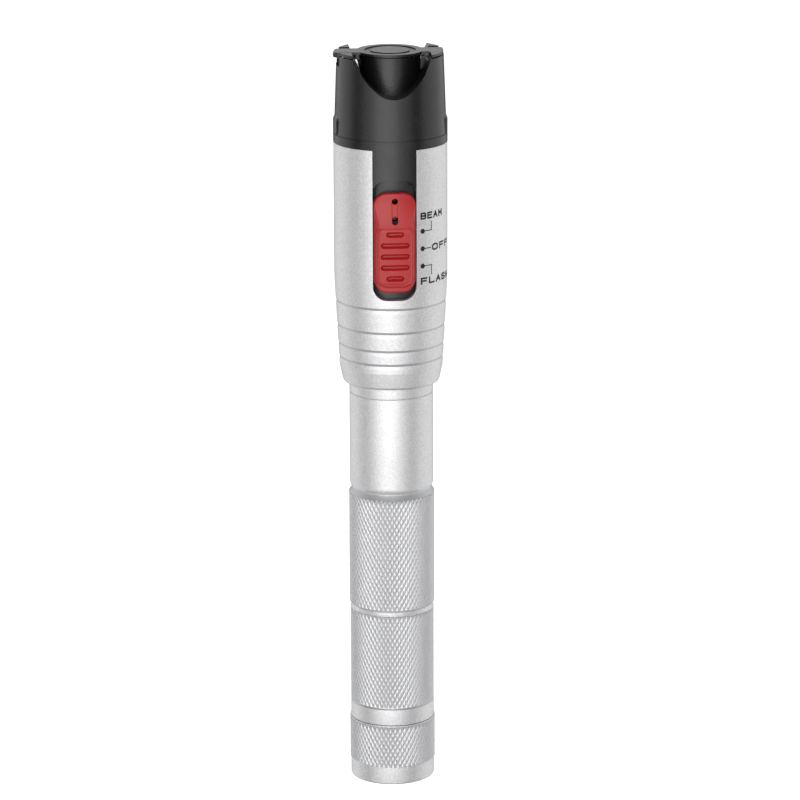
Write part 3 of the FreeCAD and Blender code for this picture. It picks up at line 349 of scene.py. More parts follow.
class KnurlSizes(bpy.types.PropertyGroup):
    """The rolled diamond knurl."""
    around: IntProperty(name="Diamonds around", description="Diamonds in one turn", default=54)
    pitch: length("Pitch", 1.93, "Height of one diamond")
    depth: length("Depth", 0.25, "Depth of the rolled grooves")
    flat: FloatProperty(name="Flat top", description="Width of a diamond's flat top, as a share",
                        default=0.38, subtype="FACTOR")


class TubeSizes(bpy.types.PropertyGroup):
    """The battery tube and its tail cap."""
    bore_radius: length("Bore radius", 7.6, "Bore for the cells")
    spigot_radius: length("Spigot radius", 8.65, "Spigot that the cap screws on")
    thread_pitch: length("Thread pitch", 1.2, "From one turn of the spigot's thread to the next")
    thread_depth: length("Thread depth", 0.35, "Depth of the spigot's thread")
    seal_drop: length("Seal drop", 1.2, "Seal groove below the end of the spigot")
    seal_width: length("Seal groove width", 0.68, "Width of the seal groove")
    seal_depth: length("Seal groove depth", 0.48, "Depth of the seal groove")
    shoulder_level: length("Barrel base", 14.6, "Where the spigot meets the tube")
    band_length: length("Band", 4.0, "Plain band below the rear grip")
    rear_grip_length: length("Rear grip", 22.7, "Length of the rear grip")
    rear_grip_radius: length("Rear grip radius", 9.77, "Rear grip over its knurl")
    line_depth: length("Line", 0.25, "Fine turned line below the rear grip")
    waist_length: length("Waist", 1.5, "Groove between the grips")
    waist_radius: length("Waist radius", 9.3, "Bottom of the groove between the grips")
    front_grip_length: length("Front grip", 26.6, "Length of the front grip")
    shoulder_fall: length("Fall", 1.1, "Chamfer down from the front grip")
    shoulder_rise: length("Rise", 1.0, "Slope up to the plain neck")
    shoulder_radius: length("Shoulder radius", 9.15, "Bottom between grip and neck")
    neck_radius: length("Neck radius", 9.73, "Plain neck of the tube")
    socket_radius: length("Socket radius", 8.8, "Counterbore for the adapter")
    socket_depth: length("Socket depth", 8.4, "Depth of the counterbore")
    cap_land_radius: length("Land radius", 9.8, "Plain band at the cap's end")
    cap_land_length: length("Land", 4.3, "Length of that band")
    cap_floor: length("Cap floor", 1.8, "End wall of the cap")
    cap_bore_radius: length("Cap bore", 8.75, "Bore of the cap")
    edge_round: length("Edge round", 0.25, "Round on turned edges")


class HeadSizes(bpy.types.PropertyGroup):
    """The flared head sleeve."""
    post_radius: length("Post radius", 9.6, "Hole that takes the adapter")
    foot_radius: length("Foot radius", 11.1, "Foot above its round")
    foot_round: length("Foot round", 0.7, "Round at the foot")
    flare_radius: length("Flare radius", 11.94, "Top of the steep cone")
    flare_length: length("Flare", 4.0, "Height of the steep cone")
    taper_length: length("Taper", 25.0, "Height of both cones")
    wall: length("Wall", 1.83, "Wall of the sleeve")
    shelf: length("Shelf", 14.6, "Height of the shelf inside")
    groove_width: length("Groove width", 1.3, "Width of a ring groove")
    groove_depth: length("Groove depth", 0.2, "Depth of a ring groove")
    slot_half_width: length("Slot half width", 5.0, "Half width of the open slot")
    slot_round: length("Slot round", 3.2, "Corner round of the slot")
    slot_level: length("Slot level", 117.5, "Lower end of the slot")
    slot_edge: length("Slot edge", 0.09, "Round on the slot's edge")


class ButtonSizes(bpy.types.PropertyGroup):
    """The moulded slide button."""
    back_radius: length("Back radius", 11.4, "Hollow back, clear of the carrier")
    corner: length("Corner", 3.1, "Corner round of the base")
    edge_round: length("Edge round", 0.4, "Round on the base's front edge")
    pad_half_width: length("Pad half width", 4.4, "Half width of the thumb pad")
    pad_inset: length("Pad inset", 0.9, "Pad above the button's lower end")
    pad_length: length("Pad length", 14.95, "Length of the thumb pad")
    pad_corner: length("Pad corner", 2.9, "Corner round of the thumb pad")
    pad_side: length("Pad side", 0.45, "Width of the pad's rounded side")
    pad_slope: length("Pad slope", 1.9, "Length of the pad's sloped upper end")
    face_radius: length("Face radius", 40, "Curve of the pad's face across the thumb")
    pad_rise: length("Pad rise", 1.0, "Pad over the base")
    foot_length: length("Foot length", 1.7, "Length of the pad's sloped lower end")
    foot_fall: length("Foot fall", 0.4, "Fall of the pad's lower end")
    rim_width: length("Rim width", 0.5, "Width of the low rim round the pad")
    rim_rise: length("Rim rise", 0.07, "Rim over the pad's face")
    ramp_start: length("Ramp start", 2.0, "Upper end of the ramp, below the button's top")
    ramp_rise: length("Ramp rise", 0.65, "Ramp over the base where it meets the pad")
    ramp_half_width: length("Ramp half width", 3.55, "Half width of the ramp at the pad")
    ramp_side: length("Ramp side", 1.0, "Width of the hollow flank beside the ramp")
    ridge_start: length("First groove", 2.35, "Lowest grip groove above the pad's end")
    ridge_pitch: length("Groove pitch", 2.55, "From one grip groove to the next")
    ridge_half_height: length("Groove half height", 0.7, "Half height of a grip groove")
    ridge_wall: length("Groove wall", 0.55, "Height of a groove's sloped wall")
    ridge_depth: length("Groove depth", 0.75, "Depth of a grip groove")
    long_ridge: length("Long groove", 3.35, "Half length of the middle grooves")
    short_ridge: length("Short groove", 2.1, "Half length of the end grooves")
    light_radius: length("Light hole", 0.72, "Radius of a light hole")
    light_stretch: length("Stretch", 0.5, "How far the lower hole runs down")
    upper_light: length("Upper light", 9.55, "Upper hole above the button's middle")
    lower_light: length("Lower light", 5.45, "Lower hole above the button's middle")
    channel_depth: length("Channel depth", 0.14, "Shallow channel between the holes")
    lever_half_width: length("Lever seat half width", 0.8, "Seat for the switch's lever")
    lever_half_height: length("Lever seat half height", 1.3, "Seat for the switch's lever")
    lever_top: length("Lever seat top", 12.0, "End of the seat, from the axis")


class MarkSizes(bpy.types.PropertyGroup):
    """The printed marks beside the button."""
    dot_radius: length("Dot", 0.58, "Radius of a dot")
    line_width: length("Line", 0.2, "Width of a leader line")
    stroke: length("Stroke", 0.38, "Width of a letter's strokes")
    letter_height: length("Letters", 1.6, "Height of the capitals")
    ink: length("Ink", 0.025, "Thickness of the ink")


class FinishColours(bpy.types.PropertyGroup):
    """Colours of the finishes."""
    aluminium: colour("Aluminium", "E1E1E2", "Blasted anodised aluminium")
    rolled: colour("Knurls", "D8D8DA", "Rolled diamonds in aluminium")
    # Darker than the aluminium: painted shade for the turned grooves and chamfers
    groove: colour("Turned grooves", "C8C9CB", "Turned grooves in aluminium")
    black: colour("Black ABS", "0F0F10", "Moulded black plastic")
    red: colour("Red ABS", "B01316", "Moulded red plastic")
    ink: colour("Ink", "0C0C0D", "Printed marks")


class StudioSettings(bpy.types.PropertyGroup):
    """Camera and light."""
    azimuth: angle("Azimuth", -4.4, "Camera round the object")
    elevation: angle("Elevation", 14.706, "Camera above the horizon")
    roll: angle("Roll", 0.19, "Camera about its own line of sight")
    distance: length("Distance", 950.4, "Camera from its target")
    target_level: length("Target level", 90.94, "Height that the camera looks at")
    target_side: length("Target side", 2.005, "Target to the right of the axis")
    focal: FloatProperty(name="Focal length", description="Lens in millimetres",
                         default=184.51)
    front_power: FloatProperty(name="Front light", description="Power of the front softbox",
                               default=1.7, unit="POWER")
    top_power: FloatProperty(name="Top light", description="Power of the overhead softbox",
                             default=2.0, unit="POWER")
    ambient: FloatProperty(name="Ambient", description="Strength of the room's light",
                           default=0.42)


# Materials

# Clear anodised aluminium. The oxide layer scatters a little light of its own, so it isn't quite
# a pure metal.
ANODISED = dict(metallic=0.9, mottle=6, detail=3.0, vary=0.04, rough_by="mottle", crisp=True)

# Each finish is named for what it is and how its surface was made. Its code is sRGB hex, or the
# name of a colour that a user may change.
FINISHES = {
    # Blasted with fine glass beads: a soft satin with a fine sparkle. The beads' dents are about
    # 0.1 mm across; they are drawn at 0.4 mm so that they show.
    "blasted": dict(ANODISED, label="bead blasted anodised aluminium", code="aluminium",
                    rough=0.53, bump=0.05, tint=(0.9, 1.1)),
    # Rolled by the knurling tool: burnished diamonds with almost no grain.
    "rolled": dict(ANODISED, label="rolled anodised aluminium", code="rolled", rough=0.52,
                   tint=(0.96, 1.04)),
    # Turned after the blasting, in grooves and chamfers, which makes them a little smoother. Their
    # darker colour is painted shade, for the shade inside the grooves: darker thin lines between
    # pale faces.
    "turned": dict(ANODISED, label="turned anodised aluminium with painted groove shade", code="groove", rough=0.5,
                   tint=(0.96, 1.04)),
    # Moulded in a spark-eroded tool: a fine even grain that spreads the light.
    "black": dict(label="moulded black abs", code="black", rough=0.35, vary=0.057, ior=1.54,
                  fine=0.35, bump=0.05, strength=0.8, mottle=3, tint_by=None,
                  rough_by="mottle"),
    # Half gloss, with a finer grain than the black parts.
    "red": dict(label="moulded red abs", code="red", rough=0.38, ior=1.54, fine=0.3,
                bump=0.025, strength=0.7, mottle=2, tint=(0.92, 1.0), tint_by="mottle",
                rough_by=None),
    # A moulded lens, polished and clear.
    "acrylic": dict(label="polished acrylic", code="EEF6FF", rough=0.035, vary=0.43, ior=1.49,
                    clear=1.0, fine=None, mottle=1.5, tint_by=None, rough_by="mottle"),
    # A thin matt film.
    "ink": dict(label="screen printed ink", code="ink", rough=0.55, ior=1.5),
    # Bright, smooth and a little warm.
    "nickel": dict(label="nickel plated steel", code="C9C8C4", rough=0.22, metallic=1.0),
    # Greyer than plated steel, with the gloss of the drawing die.
    "spring": dict(label="drawn spring steel", code="A9A8A6", rough=0.3, metallic=1.0),
    # Yellow and bright from the lathe.
    "brass": dict(label="turned brass", code="D2B06A", rough=0.25, metallic=1.0),
    # Dull black.
    "rubber": dict(label="moulded nitrile rubber", code="1B1B1C", rough=0.7, ior=1.52),
    # White with a glassy gloss.
    "zirconia": dict(label="polished zirconia", code="F2F0EA", rough=0.12, ior=2.1),
    # Green lacquer, half gloss.
    "board": dict(label="lacquered glass epoxy board", code="1E5A34", rough=0.3, ior=1.55),
    # Smooth slate film, shrunk on.
    "jacket": dict(label="printed film jacket", code="3A4454", rough=0.3, ior=1.5),
    # Dull dark grey from the mould.
    "chip": dict(label="moulded epoxy", code="232324", rough=0.6, ior=1.55),
    # Unlit: dark olive and glossy.
    "green_lamp": dict(label="tinted epoxy lamp", code="4A4A12", rough=0.2, ior=1.5),
    # Unlit: milky grey and glossy.
    "grey_lamp": dict(label="diffused epoxy lamp", code="8D8F8E", rough=0.25, ior=1.5),
    # Waxy white.
    "acetal": dict(label="turned acetal", code="E4E2DA", rough=0.45, ior=1.48),
}
NOISE_LOW, NOISE_HIGH = 0.3, 0.7        # nearly all of a noise lies between these


def surface(label, code, rough, metallic=0.0, ior=None, clear=None, fine=0.4, bump=0.01,
            strength=1.0, mottle=None, detail=2.0, tint=(0.88, 1.0), tint_by="fine",
            crisp=False, vary=0.1, rough_by="fine"):
    """A material with two noises in the object's own coordinates, a fine grain and a wider
    mottle, with their sizes and the bump in millimetres. The colour runs between two shares of
    itself by one noise, and the roughness varies by one."""
    material = bpy.data.materials.new(label)
    material.use_nodes = True
    tree = material.node_tree
    shader = next(node for node in tree.nodes if node.type == "BSDF_PRINCIPLED")
    base = linear_colour(getattr(bpy.context.scene.locator_colours, code, code))
    for socket, value in {"Base Color": base, "Metallic": metallic, "Roughness": rough,
                          "IOR": ior, "Transmission Weight": clear}.items():
        if value is not None:
            shader.inputs[socket].default_value = value
    place = add_node(tree, "ShaderNodeTexCoord").outputs["Object"]
    noises = {name: add_node(tree, "ShaderNodeTexNoise", {
        "Scale": 1 / (size * MM), "Detail": fineness, "Roughness": 0.5, "Vector": place})
        for name, size, fineness in (("fine", fine, 2.0), ("mottle", mottle, detail)) if size}
    span = {"From Min": NOISE_LOW, "From Max": NOISE_HIGH}
    if tint_by:
        share = noises[tint_by]
        if crisp:
            share = add_node(tree, "ShaderNodeMapRange", {**span, "Value": share})
        dark, pale = ([min(part * scale, 1) for part in base[:3]] + [1] for scale in tint)
        mix = add_node(tree, "ShaderNodeMix",
                       {"data_type": "RGBA", "A": dark, "B": pale, "Factor": share})
        tree.links.new(mix.outputs["Result"], shader.inputs["Base Color"])
    if rough_by:
        worn = add_node(tree, "ShaderNodeMapRange", {
            **span, "To Min": rough * (1 - vary), "To Max": rough * (1 + vary),
            "Value": noises[rough_by]})
        tree.links.new(worn.outputs["Result"], shader.inputs["Roughness"])
    if fine:
        relief = add_node(tree, "ShaderNodeBump", {
            "Distance": bump * MM, "Strength": strength, "Height": noises["fine"]})
        tree.links.new(relief.outputs["Normal"], shader.inputs["Normal"])
    return material


def finish(name):
    """The material of that name, made once."""
    made = dict(bpy.context.scene.get("locator_finishes", {}))
    if name not in made:
        made[name] = surface(**FINISHES[name]).name
        bpy.context.scene["locator_finishes"] = made
    return bpy.data.materials[made[name]]


# The diamond knurl

# Sums of the knurl's tree, in order: a name, the operation and its terms. X, Y and Z are a
# corner's place before the band is wrapped round: along the turn, along the axis and outwards.
KNURL_SUMS = (
    ("width", "DIVIDE", math.tau, "Around"), ("half width", "DIVIDE", "width", 2),
    ("half pitch", "DIVIDE", "Pitch", 2), ("rows that fit", "DIVIDE", "Length", "half pitch"),
    ("whole rows", "CEIL", "rows that fit"), ("rows", "ADD", "whole rows", 2),
    ("row gaps", "SUBTRACT", "rows", 1), ("height", "MULTIPLY", "row gaps", "half pitch"),
    ("half height", "DIVIDE", "height", 2), ("column gaps", "SUBTRACT", "Around", 1),
    ("turn", "MULTIPLY", "column gaps", "width"), ("from end", "ADD", "Y", "half height"),
    ("rows below", "DIVIDE", "from end", "half pitch"), ("row", "ROUND", "rows below"),
    ("odd row", "MODULO", "row", 2), ("stagger", "MULTIPLY", "odd row", "half width"),
    ("above end", "MAXIMUM", "Y", 0), ("along", "MINIMUM", "above end", "Length"),
    ("level", "ADD", "along", "Level"), ("valley", "SUBTRACT", "Radius", "Depth"),
    ("reach", "ADD", "valley", "Z"), ("sine", "SINE", "X"), ("cosine", "COSINE", "X"),
    ("right", "MULTIPLY", "reach", "sine"), ("forward", "MULTIPLY", "reach", "cosine"),
    ("back", "MULTIPLY", "forward", -1),
)


def knurl_tree(material):
    """Node tree: rows of flat-topped diamonds, cut off at the band's ends and wrapped round."""
    tree = bpy.data.node_groups.new("diamond knurl", "GeometryNodeTree")
    sockets = {}
    for label in ("Radius", "Depth", "Around", "Pitch", "Level", "Length", "Flat"):
        kind = "NodeSocketInt" if label == "Around" else "NodeSocketFloat"
        item = tree.interface.new_socket(label, in_out="INPUT", socket_type=kind)
        sockets[label] = item.identifier
    tree.interface.new_socket("Mesh", in_out="OUTPUT", socket_type="NodeSocketGeometry")
    given = add_node(tree, "NodeGroupInput").outputs
    place = add_node(tree, "GeometryNodeInputPosition")
    spot = add_node(tree, "ShaderNodeSeparateXYZ", {0: place}).outputs
    terms = {label: given[label] for label in sockets}
    terms.update({axis: spot[axis] for axis in "XYZ"})
    for name, operation, *parts in KNURL_SUMS:
        settings = {"operation": operation}
        settings.update({index: terms.get(part, part) for index, part in enumerate(parts)})
        terms[name] = add_node(tree, "ShaderNodeMath", settings).outputs[0]

    lattice = add_node(tree, "GeometryNodeMeshGrid", {
        "Size X": terms["turn"], "Size Y": terms["height"], "Vertices X": terms["Around"],
        "Vertices Y": terms["rows"]})
    shift = add_node(tree, "ShaderNodeCombineXYZ", {
        "X": terms["stagger"], "Y": terms["half height"]})
    staggered = add_node(tree, "GeometryNodeSetPosition", {"Geometry": lattice, "Offset": shift})
    diamond = add_node(tree, "GeometryNodeMeshCone", {
        "fill_type": "NGON", "Vertices": 4, "Radius Top": terms["Flat"], "Radius Bottom": 1.0,
        "Depth": 1.0})
    open_diamond = add_node(tree, "GeometryNodeDeleteGeometry", {
        "domain": "FACE", "Geometry": diamond, "Selection": diamond.outputs["Bottom"]})
    scale = add_node(tree, "ShaderNodeCombineXYZ", {
        "X": terms["half width"], "Y": terms["half pitch"], "Z": terms["Depth"]})
    repeated = add_node(tree, "GeometryNodeInstanceOnPoints", {
        "Points": staggered, "Instance": open_diamond, "Scale": scale})
    solid = add_node(tree, "GeometryNodeRealizeInstances", {"Geometry": repeated})
    wrapped = add_node(tree, "ShaderNodeCombineXYZ", {
        "X": terms["right"], "Y": terms["back"], "Z": terms["level"]})
    band = add_node(tree, "GeometryNodeSetPosition", {"Geometry": solid, "Position": wrapped})
    welded = add_node(tree, "GeometryNodeMergeByDistance", {
        "Distance": 2 * WELD, "Geometry": band})
    whole = add_node(tree, "GeometryNodeRealizeInstances", {"Geometry": welded})
    painted = add_node(tree, "GeometryNodeSetMaterial", {"Material": material, "Geometry": whole})
    add_node(tree, "NodeGroupOutput", {"Mesh": painted})
    return tree, sockets


def knurl_band(tree, sockets, radius, level, length_along):
    """The mesh of one knurled band."""
    knurl = bpy.context.scene.locator_knurl
    carrier = new_piece("knurl_carrier", bpy.data.meshes.new("knurl_carrier"))
    modifier = carrier.modifiers.new("knurl", "NODES")
    modifier.node_group = tree
    values = {"Radius": radius, "Depth": knurl.depth, "Around": knurl.around,
              "Pitch": knurl.pitch, "Level": level, "Length": length_along, "Flat": knurl.flat}
    for label, value in values.items():
        modifier[sockets[label]] = value
    bake_modifiers(carrier)
    mesh = take_mesh(carrier)
    shape = bmesh.new()
    shape.from_mesh(mesh)
    bmesh.ops.dissolve_degenerate(shape, dist=WELD, edges=shape.edges)
    shape.to_mesh(mesh)
    shape.free()
    return mesh


def joined(name, core, *bands):
    """One mesh from a turned core and its knurled bands, which are removed."""
    smooth(core)
    shape = bmesh.new()
    shape.from_mesh(core)
    bpy.data.meshes.remove(core)
    for band in bands:
        smooth(band, 50)
        shape.from_mesh(band)
        bpy.data.meshes.remove(band)
    return mesh_of(shape, name)


# The pieces

class BuildTube(bpy.types.Operator):
    """Battery tube with two knurled grips, a waist groove and a plain neck"""
    bl_idname = "locator.build_tube"
    bl_label = "Battery tube"

    THREAD_FLANK = 0.35         # half width of a thread groove, as a share of the pitch

    def execute(self, context):
        size, knurl = context.scene.locator_tube, context.scene.locator_knurl
        low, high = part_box("barrel")
        front_radius = high.x
        base = size.shoulder_level
        line = base + size.band_length
        rear_top = line + size.rear_grip_length
        front_base = rear_top + size.waist_length
        front_top = front_base + size.front_grip_length
        shoulder = front_top + size.shoulder_fall
        neck = shoulder + size.shoulder_rise
        seal = base - size.seal_drop
        seal_floor = size.spigot_radius - size.seal_depth
        rear_valley = size.rear_grip_radius - knurl.depth
        front_valley = front_radius - knurl.depth
        edge = size.edge_round
        thread = []
        for turn in range(1, int((seal - low.z) / size.thread_pitch)):
            level, flank = low.z + turn * size.thread_pitch, self.THREAD_FLANK * size.thread_pitch
            thread += [(size.spigot_radius, level - flank, 0),
                       (size.spigot_radius - size.thread_depth, level, 0),
                       (size.spigot_radius, level + flank, 0)]
        section = rounded([
            (size.bore_radius, low.z, 0), (size.spigot_radius, low.z, edge), *thread,
            (size.spigot_radius, seal - size.seal_width / 2, 0),
            (seal_floor, seal - size.seal_width / 2, 0),
            (seal_floor, seal + size.seal_width / 2, 0),
            (size.spigot_radius, seal + size.seal_width / 2, 0),
            (size.spigot_radius, base, 0), (size.rear_grip_radius, base, edge / 2),
            (size.rear_grip_radius, line - size.line_depth, edge / 4),
            (size.rear_grip_radius - size.line_depth, line, edge / 4),
            (rear_valley, line + size.line_depth, 0), (rear_valley, rear_top, 0),
            (size.rear_grip_radius, rear_top, 0),
            (size.waist_radius, (rear_top + front_base) / 2, edge),
            (front_radius, front_base, 0), (front_valley, front_base, 0),
            (front_valley, front_top, 0), (front_radius, front_top, 0),
            (size.shoulder_radius, shoulder, edge / 2), (size.neck_radius, neck, edge * 2),
            (size.neck_radius, high.z, edge), (size.socket_radius, high.z, 0),
            (size.socket_radius, high.z - size.socket_depth, 0),
            (size.bore_radius, high.z - size.socket_depth, 0)])
        tree, sockets = knurl_tree(finish("rolled"))
        mesh = joined(
            "battery_tube", lathe("tube_core", section),
            knurl_band(tree, sockets, size.rear_grip_radius, line + size.line_depth,
                       size.rear_grip_length - size.line_depth),
            knurl_band(tree, sockets, front_radius, front_base, size.front_grip_length))
        piece = new_piece("battery_tube", mesh)
        paint(piece, finish("blasted"), finish("rolled"), finish("turned"))
        number_faces(mesh, 1, lambda radius, level: radius > size.socket_radius and (
            line + size.line_depth < level < rear_top or front_base < level < front_top))
        # The fall under the front grip, the spigot and the fine line take the turned finish, whose
        # darker colour is painted shade
        number_faces(mesh, 2, lambda radius, level: radius > size.bore_radius and (
            front_top < level < shoulder or level < base or abs(level - line) < size.line_depth))
        settle(piece, "root", "satin_aluminium", "barrel")
        return {"FINISHED"}


class BuildTailCap(bpy.types.Operator):
    """Tail cap with a plain land and a knurled skirt"""
    bl_idname = "locator.build_tail_cap"
    bl_label = "Tail cap"

    def execute(self, context):
        size, knurl = context.scene.locator_tube, context.scene.locator_knurl
        low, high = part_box("tail_cap")
        radius, valley = high.x, high.x - knurl.depth
        edge = size.edge_round
        knurl_top = high.z - edge
        section = rounded([
            (0, low.z, 0), (size.cap_land_radius, low.z, edge * 1.6),
            (size.cap_land_radius, size.cap_land_length, 0),
            (radius, size.cap_land_length, 0), (valley, size.cap_land_length + edge, 0),
            (valley, knurl_top, 0), (radius, knurl_top, 0), (radius, high.z, edge / 4),
            (size.cap_bore_radius, high.z, 0), (size.cap_bore_radius, size.cap_floor, 0),
            (0, size.cap_floor, 0)])
        tree, sockets = knurl_tree(finish("rolled"))
        mesh = joined("tail_cap_knurled", lathe("cap_core", section),
                      knurl_band(tree, sockets, radius, size.cap_land_length,
                                 knurl_top - size.cap_land_length))
        piece = new_piece("tail_cap_knurled", mesh)
        paint(piece, finish("blasted"), finish("rolled"))
        number_faces(mesh, 1, lambda away, level: (
            away > size.cap_bore_radius and size.cap_land_length < level < knurl_top))
        settle(piece, "tail_cap", "satin_aluminium", "tail_cap")
        return {"FINISHED"}


class BuildHead(bpy.types.Operator):
    """Flared head sleeve with its ring grooves and open slot, and the collar below it"""
    bl_idname = "locator.build_head"
    bl_label = "Head sleeve"

    GROOVE_RISES = (5.75 * MM, 9.0 * MM, 13.3 * MM, 19.0 * MM)
    GROOVE_BOTTOM = 0.1         # a groove's bottom above its middle, as a share of half its width
    FLARE_ROUND, TAPER_ROUND, TOP_ROUND = 0.15 * MM, 2 * MM, 0.2 * MM
    LIP_ROUND, BOTTOM_ROUND = 0.1 * MM, 0.05 * MM
    COLLAR_ROUND = 0.06 * MM
    SLOT_PAST = 5 * MM          # how far the slot's cutter goes past the open end
    SLOT_STEPS = 12

    def execute(self, context):
        size = context.scene.locator_head
        low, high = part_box("head_sleeve")
        base, top, radius = low.z, high.z, high.x

        def cone(rise):
            share = (rise - size.flare_length) / (size.taper_length - size.flare_length)
            return size.flare_radius + (radius - size.flare_radius) * share

        corners = [(size.post_radius, base, 0), (size.foot_radius, base, size.foot_round),
                   (size.flare_radius, base + size.flare_length, self.FLARE_ROUND)]
        half = size.groove_width / 2
        bottom = half * self.GROOVE_BOTTOM
        for rise in self.GROOVE_RISES:
            corners += [(cone(rise - half), base + rise - half, self.LIP_ROUND),
                        (cone(rise + bottom) - size.groove_depth, base + rise + bottom,
                         self.BOTTOM_ROUND),
                        (cone(rise + half), base + rise + half, self.BOTTOM_ROUND)]
        inner = radius - size.wall
        corners += [(radius, base + size.taper_length, self.TAPER_ROUND),
                    (radius, top, self.TOP_ROUND), (inner, top, 0),
                    (inner, base + size.shelf, 0), (size.post_radius, base + size.shelf, 0)]
        piece = new_piece("head_sleeve_turned", lathe("head_sleeve_turned", rounded(corners)))
        reach = size.slot_half_width - size.slot_round
        slot = [(-size.slot_half_width, top + self.SLOT_PAST)]
        for step in range(self.SLOT_STEPS + 1):
            turn = math.radians(90 * step / self.SLOT_STEPS)
            slot.append((-reach - size.slot_round * math.cos(turn),
                         size.slot_level + size.slot_round * (1 - math.sin(turn))))
        slot += [(-x, z) for x, z in reversed(slot)]
        cut_away(piece, prism_between("slot_cutter", slot, 2 * radius, size.post_radius))
        soft_edges(piece, size.slot_edge, 50)
        paint(piece, finish("blasted"), finish("turned"))
        # The ring grooves take the turned finish, whose darker colour is painted shade inside them
        outer = size.flare_radius - size.groove_depth
        number_faces(piece.data, 1, lambda away, level: away > outer and any(
            bottom < level - base - rise < half for rise in self.GROOVE_RISES))
        smooth(piece.data, 40)
        true_normals(piece, 40)
        settle(piece, "root", "satin_aluminium", "head_sleeve")
        collar = cad_copy("neck_adapter", "neck_collar", self.COLLAR_ROUND)
        dress(collar, finish("blasted"), "root", "satin_aluminium", "neck_adapter")
        return {"FINISHED"}


class BuildMarks(bpy.types.Operator):
    """Printed marks for the three places of the switch, on the head sleeve"""
    bl_idname = "locator.build_marks"
    bl_label = "Switch marks"

    # Each word with its first and last angle in degrees and its level in millimetres
    WORDS = (("BEAM", 27.0, 58.6, 135.98), ("OFF", 41.9, 74.2, 128.44),
             ("FLASH", 27.3, 76.1, 120.9))
    # Each dot's level, the angle where its line ends or bends, and the level where it ends
    DOTS = ((133.3, 40.8, 135.3), (129.25, 39.8, 129.25), (125.2, 41.0, 123.0))
    DOT_ANGLE = 29.5
    DOT_SIDES = 28
    LINE_STEP = 0.4 * MM
    LETTER_GAP = 0.62           # gap between letters, as a share of a letter's width
    # Strokes of the capitals, in shares of a letter's width and height
    LETTERS = {
        "A": (((0, 0), (0.5, 1), (1, 0)), ((0.2, 0.36), (0.8, 0.36))),
        "B": (((0, 0), (0, 1), (0.75, 1), (1, 0.88), (1, 0.66), (0.75, 0.53), (0, 0.53)),
              ((0.75, 0.53), (1, 0.4), (1, 0.13), (0.75, 0), (0, 0))),
        "E": (((1, 1), (0, 1), (0, 0), (1, 0)), ((0, 0.53), (0.85, 0.53))),
        "F": (((1, 1), (0, 1), (0, 0)), ((0, 0.5), (0.85, 0.5))),
        "H": (((0, 0), (0, 1)), ((1, 0), (1, 1)), ((0, 0.5), (1, 0.5))),
        "L": (((0, 1), (0, 0), (1, 0)),),
        "M": (((0, 0), (0, 1), (0.5, 0.4), (1, 1), (1, 0)),),
        "O": (((0.3, 0), (0, 0.2), (0, 0.8), (0.3, 1), (0.7, 1), (1, 0.8), (1, 0.2),
               (0.7, 0), (0.3, 0)),),
        "S": (((1, 0.82), (0.75, 1), (0.25, 1), (0, 0.82), (0, 0.66), (0.25, 0.53),
               (0.75, 0.47), (1, 0.34), (1, 0.18), (0.75, 0), (0.25, 0), (0, 0.18)),),
    }

    def wrapped(self, shape, radius, ink):
        """Bend a flat shape, drawn as (angle, level, height), round the sleeve."""
        for vertex in shape.verts:
            turn, level, height = vertex.co
            vertex.co = place_at(radius + (ink if height > 0 else -ink), turn, level)

    def strip(self, shape, start, end, radius, width):
        """A line between two (angle, level) points, in short steps and with square ends."""
        run = Vector(((end[0] - start[0]) * radius, end[1] - start[1]))
        along = run.normalized() * width / 2
        steps = max(1, math.ceil(run.length / self.LINE_STEP))
        corners = []
        for step in range(steps + 1):
            share = step / steps
            over = -1 if step == 0 else (1 if step == steps else 0)
            turn = start[0] + (end[0] - start[0]) * share + over * along.x / radius
            level = start[1] + (end[1] - start[1]) * share + over * along.y
            corners.append([(turn - sign * along.y / radius, level + sign * along.x)
                            for sign in (1, -1)])
        for (first, second), (third, fourth) in zip(corners, corners[1:]):
            self.slab(shape, [first, second, fourth, third])

    def slab(self, shape, corners):
        """A thin closed block over an outline of (angle, level) corners."""
        skin(shape, [[shape.verts.new((turn, level, height)) for turn, level in corners]
                     for height in (1, -1)])

    def word(self, shape, size, text, first, last, level, radius):
        """A word in plain block capitals between two angles, standing on its level."""
        inset = size.stroke / 2
        start, end = math.radians(first) + inset / radius, math.radians(last) - inset / radius
        gaps = len(text) - 1
        wide = (end - start) / (len(text) + gaps * self.LETTER_GAP)
        tall = size.letter_height - 2 * inset
        for index, letter in enumerate(text):
            left = start + index * wide * (1 + self.LETTER_GAP)
            for stroke in self.LETTERS[letter]:
                spots = [(left + across * wide, level * MM + inset + along * tall)
                         for across, along in stroke]
                for spot, after in zip(spots, spots[1:]):
                    self.strip(shape, spot, after, radius, size.stroke)

    def execute(self, context):
        size = context.scene.locator_marks
        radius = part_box("head_sleeve")[1].x
        shape = bmesh.new()
        dot_angle = math.radians(self.DOT_ANGLE)
        for level, line_end, line_level in self.DOTS:
            turns = [math.tau * step / self.DOT_SIDES for step in range(self.DOT_SIDES)]
            self.slab(shape, [(dot_angle + size.dot_radius * math.cos(turn) / radius,
                               level * MM + size.dot_radius * math.sin(turn))
                              for turn in turns])
            bend = (math.radians(line_end), level * MM)
            start = (dot_angle, level * MM)
            self.strip(shape, start, bend, radius, size.line_width)
            if line_level != level:
                self.strip(shape, bend, (bend[0], line_level * MM), radius, size.line_width)
        for text, first, last, level in self.WORDS:
            self.word(shape, size, text, first, last, level, radius)
        self.wrapped(shape, radius, size.ink)
        bmesh.ops.recalc_face_normals(shape, faces=shape.faces)
        piece = new_piece("switch_marks", mesh_of(shape, "switch_marks"))
        shade(piece, finish("ink"))
        settle(piece, "root", "black_plastic")
        return {"FINISHED"}


